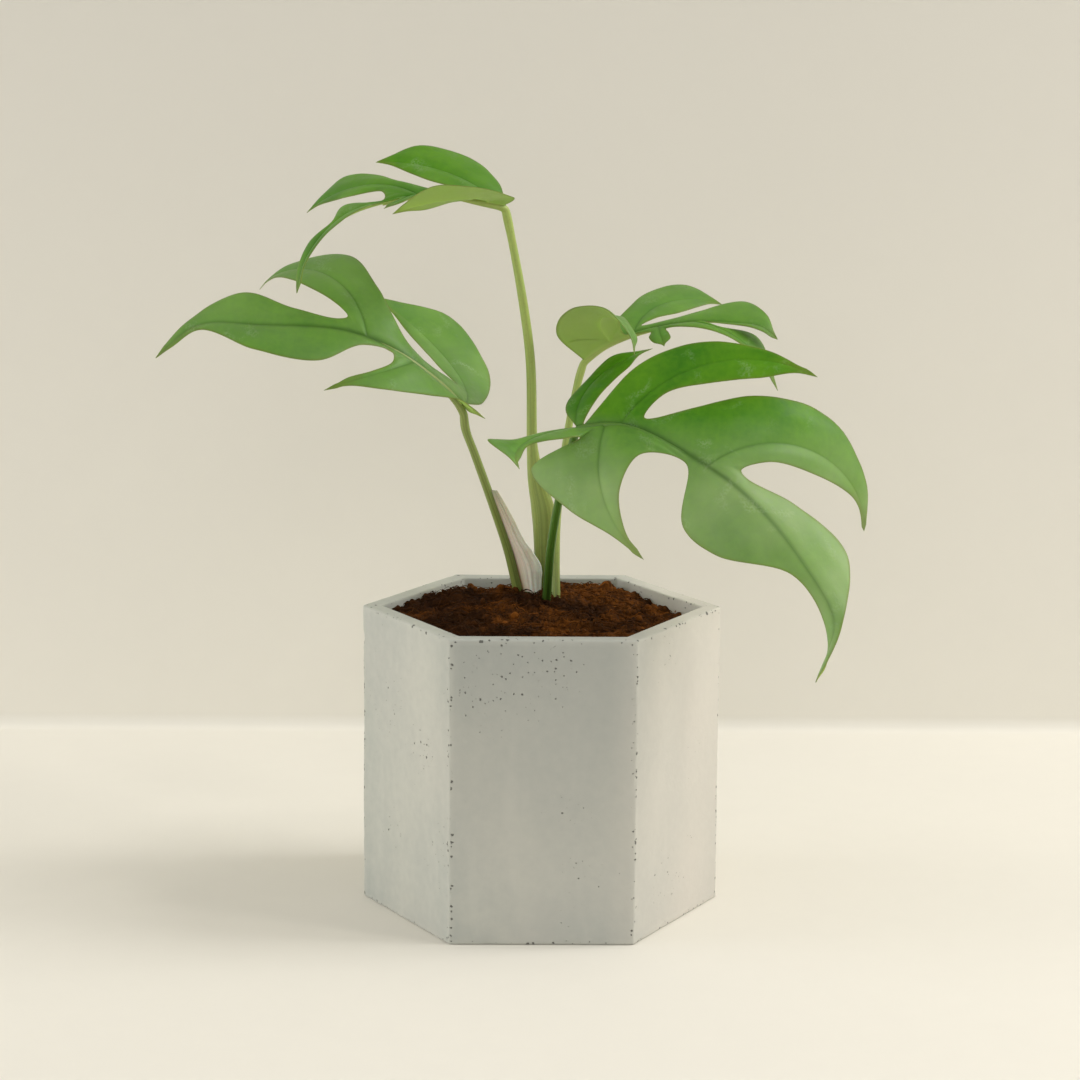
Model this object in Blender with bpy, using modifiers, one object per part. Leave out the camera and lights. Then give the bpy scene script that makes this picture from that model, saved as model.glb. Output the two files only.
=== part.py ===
"""Potted mini monstera: four split leaves on their stalks, in a six-sided cast concrete pot filled with coir.

Metres, +Z up. The origin is the middle of the pot's underside, and the pot's front face looks along -Y.
Sizes of the plant are written in millimetres and turned into metres as each mesh is made.
"""
from collections import namedtuple

import bmesh
import bpy
import numpy as np
from mathutils import Matrix, Vector

MM = 0.001

# Pot: a hexagonal prism with a corner on each side, and a straight pocket with the same wall all round.
POT_CORNER_RADIUS = 60.0
POT_HEIGHT = 101.5
POCKET_CORNER_RADIUS = 53.4
POT_FLOOR = 9.0
POT_EDGE_ROUND = 0.9

# Soil: coir that fills the pocket, mounded round the stalks and heaped a little on the left.
SOIL_GAP = 0.35
SOIL_LEVEL = 97.2
SOIL_CELLS = 22
SOIL_BLOCK = 54.5
SOIL_BLOCK_BASE = 7.0
Heap = namedtuple("Heap", "x y height spread")
SOIL_HEAPS = (
    Heap(-1.0, 21.0, 4.6, 15.0),
    Heap(-33.0, 22.0, 3.0, 10.0),
    Heap(-34.0, -8.0, 1.6, 12.0),
    Heap(20.0, 38.0, 1.4, 9.0),
    Heap(-18.0, 44.0, -2.2, 6.0),
    Heap(44.0, 12.0, -1.6, 10.0),
)
CLOD_HEIGHT = 0.55
TOP_SLOPE = 0.3

# Each stalk's foot stands in a plain hole in the soil.
BURIED = 14.0
STALK_HOLE_GAP = 0.4
HOLE_DEPTH_GAP = 0.3
HOLE_RISE = 12.0
HOLE_SIDES = 20

# Blades: a sheet of one thickness, with the veins' feet on equal steps of the midrib. Between its veins the
# sheet arches by a share of its width. Widths are set at stations along each vein and along the end lobe,
# and near a lobe's tip the width is a share of its last one.
BLADE_THICKNESS = 0.7
MIDRIB_STEPS = 25
VEIN_STEPS = 12
MARGIN_STEPS = 8
BLADE_ROWS = 2
BLADE_ARCH = 0.05
VEIN_STATIONS = (0.25, 0.5, 0.75, 0.9)
TIP_STATIONS = (0.1, 0.3, 0.55, 0.78, 0.92)
TIP_ANGLE = 20.0
DRIP_WIDTH = 0.28
LEAST_WIDTH = 1.0
POINT_TAPER = 0.25
WELD = 0.5

# How finely the midrib and the side veins are followed, and the share of the midrib that sets its direction.
MIDRIB_SPAN_STEPS = 16
VEIN_SAMPLES = 24
TANGENT_REACH = 0.04

# A lobe is a strip along its side vein. Foot is the vein's place on the midrib, from 0 at the stalk to 1 at
# the tip. Angle is measured from the midrib, bow is how far the vein swings towards the tip, lift raises the
# lobe out of the blade, droop bends it down along its length and twist turns it about its vein. Front and
# back are its widths towards the tip and towards the stalk, at a quarter, half and three quarters.
Lobe = namedtuple("Lobe", "foot length angle bow lift droop twist front back")
# A sinus is the rounded end of the cut between two lobes: its place along the midrib and its distance off it.
Sinus = namedtuple("Sinus", "place depth")
# The end lobe takes the rest of a side, from its start along the midrib.
Side = namedtuple("Side", "lobes sinuses tip_start tip_widths tip_lift")
Leaf = namedtuple("Leaf", "midrib roll left right")

LEAF_FRONT = Leaf(
    midrib=((10.5, -22, 165.5), (26, -30, 167.5), (46.5, -38, 159), (65, -44, 146.5),
            (81.5, -49, 127.5), (92, -54, 108), (86, -60, 90)),
    roll=(48, 48, 50, 50, 45),
    left=Side(
        lobes=(Lobe(0.00, 47, 116, 93, -12, 8, 21, (6.5, 9, 9), (5, 4.5, 8)),
               Lobe(0.12, 72, 73, 85, 5, 23, 3, (4, 7.5, 6.5), (11.5, 9, 4)),
               Lobe(0.36, 88, 73, 110, 8, 78, 10, (6.5, 7, 2), (17, 14, 5.5))),
        sinuses=(Sinus(0.02, 1), Sinus(0.16, 4.5), Sinus(0.39, 8)),
        tip_start=0.39, tip_widths=(5.5, 12, 16.5, 3, 4.5), tip_lift=-14),
    right=Side(
        lobes=(Lobe(0.00, 43, 143, 99, 49, 24, -50, (9, 2, 2), (2.5, 3.5, 10)),
               Lobe(0.08, 50, 101, 63, -9, 28, 5, (15, 6, 2), (24.5, 12.5, 3))),
        sinuses=(Sinus(0.06, 8), Sinus(0.30, 3.5)),
        tip_start=0.33, tip_widths=(20.5, 20.5, 5, 4.5, 3), tip_lift=-20))

LEAF_LEFT = Leaf(
    midrib=((-26.5, 4, 169), (-36, 0, 178.5), (-48.5, -4, 188), (-65, -8, 195),
            (-91.5, -12, 197), (-112.5, -14, 197), (-126, -16, 186.5)),
    roll=(-42, -42, -40, -36, -30),
    left=Side(
        lobes=(Lobe(0.04, 13, 152, 1, 36, -10, 35, (1.5, 1.5, 1), (1.5, 3.5, 1)),
               Lobe(0.20, 35, 56, 28, 2, 56, -16, (2.5, 1.5, 1.8), (10.5, 6.5, 1.8))),
        sinuses=(Sinus(0.07, 6), Sinus(0.25, 3.5)),
        tip_start=0.30, tip_widths=(4.5, 15, 11.5, 2.5, 1.5), tip_lift=-1),
    right=Side(
        lobes=(Lobe(0.00, 76, 117, 104, -18, 14, -37, (4.5, 8, 5), (7.5, 17.5, 18)),
               Lobe(0.36, 70, 72, 70, 14, 91, 12, (8, 9.5, 4), (11, 14.5, 5))),
        sinuses=(Sinus(0.24, 6.5), Sinus(0.38, 7.5)),
        tip_start=0.39, tip_widths=(4.5, 8, 14.5, 4, 2), tip_lift=0))

LEAF_TOP = Leaf(
    midrib=((-13, 10, 234.5), (-19.5, 6, 236), (-34, 0, 239), (-50.5, -6, 237),
            (-65.5, -11, 231.5), (-76.5, -16, 220), (-80, -18, 208)),
    roll=(-4, -4, 0, 4, 4),
    left=Side(
        lobes=(Lobe(0.08, 48, 67, 110, 11, 27, -28, (4, 5, 5), (11, 12, 11.5)),
               Lobe(0.40, 15, 53, 27, 1, 9, 0, (1.5, 2, 2), (3, 3, 2))),
        sinuses=(Sinus(0.32, 3), Sinus(0.48, 3)),
        tip_start=0.54, tip_widths=(7, 9, 5.5, 2, 2), tip_lift=9),
    right=Side(
        lobes=(Lobe(0.04, 50, 92, 75, 21, 22, -23, (7, 9.5, 5.5), (10.5, 16, 11.5)),
               Lobe(0.36, 49, 67, 37, 21, 49, -8, (5, 8, 4.5), (4, 8.5, 12))),
        sinuses=(Sinus(0.26, 2), Sinus(0.47, 2.5)),
        tip_start=0.57, tip_widths=(10, 3, 5, 3, 1.5), tip_lift=9))

LEAF_BACK = Leaf(
    midrib=((14, 34, 180), (20.5, 34, 185), (33, 34, 190), (50, 33, 193.5),
            (63.5, 31, 193.5), (74, 28, 192.5), (79.5, 26, 188.5)),
    roll=(6, 6, 8, 12, 16),
    left=Side(
        lobes=(Lobe(0.28, 43, 73, 90, 22, 34, -6, (5, 8, 5), (8, 10, 9)),),
        sinuses=(Sinus(0.28, 4.5),),
        tip_start=0.52, tip_widths=(6, 10, 13, 6.5, 1.5), tip_lift=15),
    right=Side(
        lobes=(Lobe(0.16, 54, 107, 110, 60, 109, -9, (7, 6, 6), (15, 14.5, 12.5)),
               Lobe(0.40, 10, 92, 13, -12, 39, 0, (2.5, 3, 3), (3, 4, 3)),
               Lobe(0.56, 41, 25, -6, -1, 70, -5, (1.5, 9.5, 4.5), (4, 2, 2))),
        sinuses=(Sinus(0.24, 2), Sinus(0.46, 4), Sinus(0.61, 1.5)),
        tip_start=0.68, tip_widths=(2, 2.5, 3.5, 3, 2), tip_lift=4))

# Stalks: points up the middle of each stalk, from the soil to its end under the blade, and the radius at
# each.
STALK_SIDES = 3
STALK_SPAN_STEPS = 3
Stalk = namedtuple("Stalk", "points radii")
STALKS = {
    "petiole_top": Stalk(
        ((0, 23, 102), (0, 21.5, 116.5), (-0.5, 20.5, 130.5), (-2.5, 19.5, 141), (-3.5, 18, 153),
         (-4.2, 15.3, 181.5), (-7, 13.2, 203), (-11, 11, 224.5), (-13, 10, 233.85)),
        (2.2, 2.6, 3.2, 2.4, 1.8, 1.6, 1.5, 1.3, 1.3)),
    "petiole_left": Stalk(
        ((-8, 24, 102.5), (-11.5, 20, 117), (-16.8, 14.8, 133.5), (-23, 9, 152), (-25.8, 6.8, 160),
         (-26.45, 5, 166)),
        (1.9, 1.7, 1.5, 1.4, 1.3, 1.3)),
    "petiole_front": Stalk(
        ((1.7, 12, 102), (2.8, 2.5, 120.5), (4.8, -6, 136), (7.7, -14.5, 151.5), (9.5, -19, 160),
         (10.5, -21.45, 164.6)),
        (1.5, 1.45, 1.4, 1.3, 1.2, 1.2)),
    "petiole_back": Stalk(
        ((4.8, 17, 102), (4.7, 19.5, 113), (5.2, 23, 128), (8.8, 29, 156.5), (12.2, 32.5, 173),
         (14.15, 33.95, 179.45)),
        (1.6, 1.5, 1.4, 1.3, 1.2, 1.2)),
}

# Sheath: a papery strip that stands in the soil beside the left stalk and narrows up along it. Its free edge
# is listed, its other edge follows the stalk, and it bulges towards the front.
SHEATH_THICKNESS = 0.7
SHEATH_GAP = 0.3
SHEATH_EDGE = ((0, 19.5, 96), (0, 19, 103.5), (0.1, 17.6, 111), (-2.4, 16.7, 116), (-6, 15.8, 121),
               (-9.9, 14.3, 129), (-13, 13.2, 134.7), (-15.2, 12.5, 138.5))
SHEATH_BULGE = 2.0
SHEATH_ROWS = 14
SHEATH_COLUMNS = 5
SHEATH_SPAN_STEPS = 8


def smooth_path(points, steps):
    """Carry a centripetal Catmull-Rom curve through the points, with the given steps to each span."""
    points = np.asarray(points, float)
    ends = (2 * points[:1] - points[1:2], 2 * points[-1:] - points[-2:-1])
    q = np.vstack([ends[0], points, ends[1]])
    spacing = np.maximum(np.linalg.norm(np.diff(q, axis=0), axis=1), 1e-6) ** 0.5
    knots = np.concatenate([[0.0], np.cumsum(spacing)])
    spans = []
    for i in range(1, len(q) - 2):
        t0, t1, t2, t3 = knots[i - 1:i + 3]
        t = np.linspace(t1, t2, steps, endpoint=False)[:, None]
        a1 = ((t1 - t) * q[i - 1] + (t - t0) * q[i]) / (t1 - t0)
        a2 = ((t2 - t) * q[i] + (t - t1) * q[i + 1]) / (t2 - t1)
        a3 = ((t3 - t) * q[i + 1] + (t - t2) * q[i + 2]) / (t3 - t2)
        b1 = ((t2 - t) * a1 + (t - t0) * a2) / (t2 - t0)
        b2 = ((t3 - t) * a2 + (t - t1) * a3) / (t3 - t1)
        spans.append(((t2 - t) * b1 + (t - t1) * b2) / (t2 - t1))
    return np.vstack(spans + [points[-1:]])


def along(places, knots, values):
    """Read each column of values at the given places between the knots."""
    return np.stack([np.interp(places, knots, column) for column in np.asarray(values, float).T], axis=-1)


def unit(vectors):
    """Scale each vector to length one."""
    return vectors / np.linalg.norm(vectors, axis=-1, keepdims=True)


class Midrib:
    """The midrib's curve, read by its share of the length, and the blade's own directions along it."""

    def __init__(self, leaf):
        self.curve = smooth_path(leaf.midrib, MIDRIB_SPAN_STEPS)
        lengths = np.linalg.norm(np.diff(self.curve, axis=0), axis=1)
        self.share = np.concatenate([[0.0], np.cumsum(lengths)]) / lengths.sum()
        self.roll = leaf.roll

    def at(self, place):
        return along(np.atleast_1d(place), self.share, self.curve)

    def frame(self, place):
        """Give the directions along the midrib, to the blade's left and out of its upper face."""
        place = np.atleast_1d(place)
        further, nearer = np.minimum(place + TANGENT_REACH, 1), np.maximum(place - TANGENT_REACH, 0)
        ahead = unit(self.at(further) - self.at(nearer))
        level_up = unit(np.array([0, 0, 1.0]) - ahead[:, 2:] * ahead)
        level_left = np.cross(level_up, ahead)
        roll = np.radians(np.interp(place, np.linspace(0, 1, len(self.roll)), self.roll))[:, None]
        left = level_left * np.cos(roll) + level_up * np.sin(roll)
        up = level_up * np.cos(roll) - level_left * np.sin(roll)
        return ahead, left, up


def raised(out, up, lift):
    """Turn the outward and upward directions about the midrib by the lift, in degrees."""
    turn = np.radians(lift)
    return out * np.cos(turn) + up * np.sin(turn), up * np.cos(turn) - out * np.sin(turn)


def vein_lines(midrib, lobe, hand, steps):
    """Carry a side vein out from its foot, and give its points, forward directions and normals."""
    ahead, left, up = (axis[0] for axis in midrib.frame(lobe.foot))
    out, normal = raised(hand * left, up, lobe.lift)
    x = np.linspace(0, 1, steps + 1)[:, None]
    swing = np.radians(lobe.angle - lobe.bow * x)
    droop = np.radians(lobe.droop * x)
    twist = np.radians(lobe.twist * x)
    in_plane = np.cos(swing) * ahead + np.sin(swing) * out
    heading = np.cos(droop) * in_plane - np.sin(droop) * normal
    forward = np.sin(swing) * ahead - np.cos(swing) * out
    face = np.cos(droop) * normal + np.sin(droop) * in_plane
    forward_twisted = forward * np.cos(twist) + face * np.sin(twist)
    face_twisted = face * np.cos(twist) - forward * np.sin(twist)
    strides = (heading[1:] + heading[:-1]) / 2 * lobe.length / steps
    points = midrib.at(lobe.foot) + np.vstack([np.zeros(3), np.cumsum(strides, axis=0)])
    return points, forward_twisted, face_twisted


def lobe_margins(midrib, lobe, hand):
    """Give the vein's tip and the margin points ahead of and behind the vein, from foot to tip."""
    points, forward, _ = vein_lines(midrib, lobe, hand, VEIN_SAMPLES)
    x = np.linspace(0, 1, VEIN_SAMPLES + 1)
    base = along(VEIN_STATIONS, x, points)
    way = along(VEIN_STATIONS, x, forward)
    front = np.array([*lobe.front, DRIP_WIDTH * lobe.front[2]])[:, None]
    back = np.array([*lobe.back, DRIP_WIDTH * lobe.back[2]])[:, None]
    return points[-1:], base + way * front, base - way * back


def tip_places(side):
    return side.tip_start + (1 - side.tip_start) * np.array(TIP_STATIONS)


def tip_margin(midrib, side, hand):
    """Give the margin points of the end lobe on one side, from its start to the leaf's tip."""
    place = tip_places(side)
    _, left, up = midrib.frame(place)
    out, _ = raised(hand * left, up, side.tip_lift)
    return midrib.at(place) + np.array(side.tip_widths)[:, None] * out


def sinus_point(midrib, sinus, lobe, next_angle, next_lift, hand):
    """Place the end of a cut between a lobe and the next one."""
    ahead, left, up = midrib.frame(sinus.place)
    out, _ = raised(hand * left, up, (lobe.lift + next_lift) / 2)
    heading = np.radians((lobe.angle + next_angle) / 2)
    return midrib.at(sinus.place) + sinus.depth * (np.cos(heading) * ahead + np.sin(heading) * out)


def kept_off(inner, outer, sideways):
    """Move the margin out to the least width wherever it comes nearer to a side vein, less so at a tip."""
    travel = np.concatenate([[0], np.cumsum(np.linalg.norm(np.diff(inner, axis=0), axis=1))])
    from_end = np.minimum(travel, travel[-1] - travel)
    least = np.minimum(LEAST_WIDTH, POINT_TAPER * from_end)
    reach = np.sum((outer - inner) * sideways, axis=1)
    return outer + np.maximum(least - reach, 0)[:, None] * sideways


def blade_sectors(leaf, vein_steps, midrib_steps, margin_steps):
    """Yield the inner line, its normals and the margin of each sector between neighbouring veins.

    The inner line runs down one vein, along the midrib and out along the next vein. The margin goes from
    tip to tip round the sinus, and has a point for each point of the inner line.
    """
    midrib = Midrib(leaf)
    far = 1 - np.array(VEIN_STATIONS)[::-1]
    for hand, side in ((1, leaf.left), (-1, leaf.right)):
        lines = [vein_lines(midrib, lobe, hand, vein_steps) for lobe in side.lobes]
        margins = [lobe_margins(midrib, lobe, hand) for lobe in side.lobes]
        feet = [round(lobe.foot * midrib_steps) for lobe in side.lobes]
        stops = [0] + feet
        for i in range(len(side.lobes) + 1):
            last = i == len(side.lobes)
            rib_end = midrib_steps if last else feet[i]
            rib_place = np.arange(stops[i], rib_end + 1) / midrib_steps
            rib = midrib.at(rib_place)
            inner, normals, sideways = [rib], [midrib.frame(rib_place)[2]], [0 * rib]
            anchors, knots = [], []
            if i > 0:
                lobe = side.lobes[i - 1]
                inner.insert(0, lines[i - 1][0][:0:-1])
                normals.insert(0, lines[i - 1][2][:0:-1])
                sideways.insert(0, lines[i - 1][1][:0:-1])
                anchors += [0, *(far * vein_steps)]
                knots += [margins[i - 1][0], margins[i - 1][1][::-1]]
            else:
                anchors += [0]
                knots += [rib[:1]]
            root = vein_steps if i > 0 else 0
            rib_span = rib_end - stops[i]
            if last:
                ends = root + np.array([*tip_places(side), 1.0]) * midrib_steps - stops[i]
                end_points = [tip_margin(midrib, side, hand), rib[-1:]]
                next_angle, next_lift = TIP_ANGLE, side.tip_lift
            else:
                inner.append(lines[i][0][1:])
                normals.append(lines[i][2][1:])
                sideways.append(-lines[i][1][1:])
                ends = root + rib_span + np.array([*VEIN_STATIONS, 1.0]) * vein_steps
                end_points = [margins[i][2], margins[i][0]]
                next_angle, next_lift = side.lobes[i].angle, side.lobes[i].lift
            if i > 0:
                sinus = side.sinuses[i - 1]
                abreast = root + sinus.place * midrib_steps - stops[i]
                anchors += [np.clip(abreast, anchors[-1] + 1, ends[0] - 1)]
                knots += [sinus_point(midrib, sinus, lobe, next_angle, next_lift, hand)]
            anchors += [*ends]
            knots += end_points
            inner = np.vstack(inner)
            margin = smooth_path(np.vstack(knots), margin_steps)
            knot_places = np.interp(np.arange(len(inner)), anchors, np.arange(len(anchors)))
            outer = along(knot_places, np.linspace(0, len(anchors) - 1, len(margin)), margin)
            outer = kept_off(inner, outer, np.vstack(sideways))
            outer[0] = knots[0][0]
            outer[-1] = inner[-1]
            yield inner, unit(np.vstack(normals)), outer


def blade_object(name, leaf, material, collection):
    """Lay a grid over each sector, join the grids along the veins and thicken the sheet."""
    bm = bmesh.new()
    for inner, normals, outer in blade_sectors(leaf, VEIN_STEPS, MIDRIB_STEPS, MARGIN_STEPS):
        across = np.linspace(0, 1, BLADE_ROWS + 1)[:, None, None]
        width = np.linalg.norm(outer - inner, axis=1)[None, :, None]
        sheet = (1 - across) * inner + across * outer
        sheet = sheet + normals * width * BLADE_ARCH * np.sin(np.pi * across)
        made = bmesh.ops.create_grid(bm, x_segments=len(inner) - 1, y_segments=BLADE_ROWS, size=1)
        for vert, place in zip(made["verts"], sheet.reshape(-1, 3)):
            vert.co = place * MM
    bmesh.ops.remove_doubles(bm, verts=bm.verts, dist=WELD * MM)
    bmesh.ops.recalc_face_normals(bm, faces=bm.faces)
    thicken(mesh_object(name, bm, material, collection), BLADE_THICKNESS)


def thicken(obj, thickness):
    """Split the sheet into triangles and give it its thickness, half on each side."""
    obj.data.shade_smooth()
    triangulate = obj.modifiers.new("Triangles", "TRIANGULATE")
    triangulate.quad_method = "SHORTEST_DIAGONAL"
    solidify = obj.modifiers.new("Thickness", "SOLIDIFY")
    solidify.thickness = thickness * MM
    solidify.offset = 0


def mesh_object(name, bm, material, collection):
    mesh = bpy.data.meshes.new(name)
    bm.to_mesh(mesh)
    bm.free()
    obj = bpy.data.objects.new(name, mesh)
    obj.data.materials.append(material)
    collection.objects.link(obj)
    return obj


def plain_material(name, color, roughness):
    material = bpy.data.materials.new(name)
    material.use_nodes = True
    shader = material.node_tree.nodes["Principled BSDF"]
    shader.inputs["Base Color"].default_value = (*color, 1)
    shader.inputs["Roughness"].default_value = roughness
    shader.inputs["Metallic"].default_value = 0
    material.diffuse_color = (*color, 1)
    return material


def make_cutter(obj):
    obj.hide_render = True
    obj.display_type = "WIRE"


def cut(obj, cutter, operation="DIFFERENCE"):
    boolean = obj.modifiers.new(cutter.name, "BOOLEAN")
    boolean.object = cutter
    boolean.operation = operation
    boolean.solver = "EXACT"


def prism(name, corner_radius, low, high, material, collection):
    """Make an upright hexagonal prism with corners on +X and -X."""
    bm = bmesh.new()
    turn = Matrix.Rotation(np.pi / 2, 4, "Z")
    lift = Matrix.Translation((0, 0, (low + high) / 2 * MM))
    bmesh.ops.create_cone(bm, cap_ends=True, segments=6, radius1=corner_radius * MM,
                          radius2=corner_radius * MM, depth=(high - low) * MM, matrix=lift @ turn)
    return mesh_object(name, bm, material, collection)


def make_pot(material, collection, cutters):
    pot = prism("pot", POT_CORNER_RADIUS, 0, POT_HEIGHT, material, collection)
    pocket = prism("pot_pocket", POCKET_CORNER_RADIUS, POT_FLOOR, POT_HEIGHT + POT_FLOOR, material, cutters)
    make_cutter(pocket)
    bevel = pot.modifiers.new("Edges", "BEVEL")
    bevel.width = POT_EDGE_ROUND * MM
    bevel.segments = 2
    bevel.limit_method = "ANGLE"
    cut(pot, pocket)


def soil_height(x, y):
    """Height of the coir: a level bed, a few heaps and hollows, and clods from crossed waves."""
    height = SOIL_LEVEL + 0 * x
    for heap in SOIL_HEAPS:
        distance = ((x - heap.x) ** 2 + (y - heap.y) ** 2) / (2 * heap.spread ** 2)
        height = height + heap.height * np.exp(-distance)
    clods = np.sin(0.55 * x + 0.8) * np.sin(0.47 * y + 1.9) + 0.7 * np.sin(0.31 * x - 0.62 * y + 0.4)
    return height + CLOD_HEIGHT * clods


def make_soil(material, collection, cutters):
    """Fill the pocket: a block with the heaped top, kept where it lies inside the pocket's prism."""
    bm = bmesh.new()
    made = bmesh.ops.create_grid(bm, x_segments=SOIL_CELLS, y_segments=SOIL_CELLS, size=SOIL_BLOCK * MM)
    for vert in made["verts"]:
        vert.co.z = soil_height(vert.co.x / MM, vert.co.y / MM) * MM
    rim = [edge for edge in bm.edges if edge.is_boundary]
    walls = bmesh.ops.extrude_edge_only(bm, edges=rim)["geom"]
    for vert in (item for item in walls if isinstance(item, bmesh.types.BMVert)):
        vert.co.z = SOIL_BLOCK_BASE * MM
    bmesh.ops.holes_fill(bm, edges=[edge for edge in bm.edges if edge.is_boundary], sides=0)
    bmesh.ops.recalc_face_normals(bm, faces=bm.faces)
    for face in bm.faces:
        face.smooth = face.normal.z > TOP_SLOPE
    soil = mesh_object("soil", bm, material, collection)
    room = prism("soil_room", POCKET_CORNER_RADIUS - SOIL_GAP / np.cos(np.pi / 6), POT_FLOOR + SOIL_GAP,
                 POT_HEIGHT + BURIED, material, cutters)
    make_cutter(room)
    cut(soil, room, "INTERSECT")
    return soil


def stalk_foot(stalk):
    """Give the buried end of the stalk and the way it points up out of the soil."""
    start, after = np.array(stalk.points[:2], float)
    way = unit(after - start)
    return start - way * BURIED, way


def stalk_route(stalk):
    """Run the stalk from below the soil to its end, with its radius at each point."""
    foot, _ = stalk_foot(stalk)
    route = np.vstack([foot, stalk.points])
    radii = (stalk.radii[0], *stalk.radii)
    path = smooth_path(route, STALK_SPAN_STEPS)
    return path, np.interp(np.linspace(0, len(route) - 1, len(path)), np.arange(len(route)), radii)


def make_stalk(name, stalk, material, collection):
    """Draw a stalk as a round curve whose radius changes along it."""
    path, radii = stalk_route(stalk)
    curve = bpy.data.curves.new(name, "CURVE")
    curve.dimensions = "3D"
    curve.bevel_depth = MM
    curve.bevel_resolution = STALK_SIDES
    curve.use_fill_caps = True
    spline = curve.splines.new("POLY")
    spline.points.add(len(path) - 1)
    for point, place, radius in zip(spline.points, path, radii):
        point.co = (*(place * MM), 1)
        point.radius = radius
    curve.materials.append(material)
    obj = bpy.data.objects.new(name, curve)
    collection.objects.link(obj)


def stalk_hole(name, stalk, material, cutters):
    """Make the plain round hole that a stalk stands in."""
    foot, way = stalk_foot(stalk)
    length = BURIED + HOLE_DEPTH_GAP + HOLE_RISE
    centre = foot + way * (length / 2 - HOLE_DEPTH_GAP)
    place = Matrix.Translation(Vector(centre * MM))
    turn = Vector((0, 0, 1)).rotation_difference(Vector(way)).to_matrix().to_4x4()
    radius = max(stalk.radii[:2]) + STALK_HOLE_GAP
    bm = bmesh.new()
    bmesh.ops.create_cone(bm, cap_ends=True, segments=HOLE_SIDES, radius1=radius * MM,
                          radius2=radius * MM, depth=length * MM, matrix=place @ turn)
    hole = mesh_object(name, bm, material, cutters)
    make_cutter(hole)
    return hole


def sheath_object(name, thickness, spread, material, collection):
    """Stretch a grid from the left stalk to the free edge, widened by the spread, and thicken it."""
    path, radii = stalk_route(STALKS["petiole_left"])
    edge = smooth_path(SHEATH_EDGE, SHEATH_SPAN_STEPS)
    heights = np.linspace(SHEATH_EDGE[0][2] - spread, SHEATH_EDGE[-1][2], SHEATH_ROWS + 1)
    free = along(heights, edge[:, 2], edge)
    free[:, 2] = heights
    stalk = along(heights, path[:, 2], np.column_stack([path, radii]))
    held = stalk[:, :3] + np.outer(stalk[:, 3] + SHEATH_GAP + SHEATH_THICKNESS / 2, (1, 0, 0))
    across = np.linspace(0, 1, SHEATH_COLUMNS)[None, :, None]
    sheet = (1 - across) * held[:, None] + across * free[:, None]
    width = np.linalg.norm(free - held, axis=1)[:, None, None]
    bulge = SHEATH_BULGE * width / width.max() * np.sin(np.pi * across)
    sheet = sheet - bulge * np.array([0, 1.0, 0])
    sheet = sheet + spread * (2 * across - 1) * np.array([1.0, 0, 0])
    bm = bmesh.new()
    made = bmesh.ops.create_grid(bm, x_segments=SHEATH_COLUMNS - 1, y_segments=SHEATH_ROWS, size=1)
    for vert, place in zip(made["verts"], sheet.reshape(-1, 3)):
        vert.co = place * MM
    obj = mesh_object(name, bm, material, collection)
    thicken(obj, thickness)
    return obj


def main():
    for obj in list(bpy.data.objects):
        bpy.data.objects.remove(obj)
    parts = bpy.data.collections.new("Potted mini monstera")
    cutters = bpy.data.collections.new("Cutters")
    for collection in (parts, cutters):
        bpy.context.scene.collection.children.link(collection)
    concrete = plain_material("Cast concrete", (0.40, 0.42, 0.38), 0.85)
    coir = plain_material("Coir", (0.10, 0.035, 0.012), 0.95)
    green = plain_material("Leaf green", (0.13, 0.30, 0.04), 0.40)
    stem = plain_material("Stalk green", (0.20, 0.30, 0.05), 0.50)
    papery = plain_material("Papery sheath", (0.50, 0.46, 0.36), 0.60)

    make_pot(concrete, parts, cutters)
    soil = make_soil(coir, parts, cutters)
    for name, stalk in STALKS.items():
        make_stalk(name, stalk, stem, parts)
        cut(soil, stalk_hole(name + "_hole", stalk, coir, cutters))
    sheath_object("sheath_left", SHEATH_THICKNESS, 0, papery, parts)
    slot = sheath_object("sheath_slot", SHEATH_THICKNESS + 2 * SHEATH_GAP, SHEATH_GAP, papery, cutters)
    make_cutter(slot)
    cut(soil, slot)
    for name, leaf in (("leaf_top", LEAF_TOP), ("leaf_left", LEAF_LEFT),
                       ("leaf_front", LEAF_FRONT), ("leaf_back", LEAF_BACK)):
        blade_object(name, leaf, green, parts)


main()
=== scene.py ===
"""Looks of a potted mini monstera: four split leaves on stalks, coir and a six-sided concrete pot.

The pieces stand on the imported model, in metres, +Z up, with the origin under the middle of the pot. Sizes of
the plant are written in millimetres and become metres as each mesh is made.
"""
from collections import namedtuple

import bpy
import numpy as np
from bpy.props import FloatProperty, FloatVectorProperty, IntProperty, PointerProperty
from mathutils import Matrix


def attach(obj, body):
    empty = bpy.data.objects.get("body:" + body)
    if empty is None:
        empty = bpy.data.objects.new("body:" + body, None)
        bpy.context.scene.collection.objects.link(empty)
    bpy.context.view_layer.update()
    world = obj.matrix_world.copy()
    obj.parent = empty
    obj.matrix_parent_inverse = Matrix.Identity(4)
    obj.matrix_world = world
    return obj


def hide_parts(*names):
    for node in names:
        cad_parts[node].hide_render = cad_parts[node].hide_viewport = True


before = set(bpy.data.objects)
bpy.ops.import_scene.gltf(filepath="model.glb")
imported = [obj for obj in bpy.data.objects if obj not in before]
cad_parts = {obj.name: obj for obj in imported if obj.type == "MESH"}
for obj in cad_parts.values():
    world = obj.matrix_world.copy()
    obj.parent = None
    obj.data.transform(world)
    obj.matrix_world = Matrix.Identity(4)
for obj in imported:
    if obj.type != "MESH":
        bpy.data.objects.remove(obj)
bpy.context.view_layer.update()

bl_info = {
    "name": "Potted mini monstera",
    "version": (1, 0, 0),
    "blender": (4, 5, 0),
    "location": "3D View > Sidebar > Monstera",
    "description": "Builds the leaves, stalks, coir and concrete pot of a mini monstera",
    "category": "Object",
}

MM = 0.001
# Points nearer than this many millimetres are one.
JOIN_WITHIN = 0.004
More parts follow.
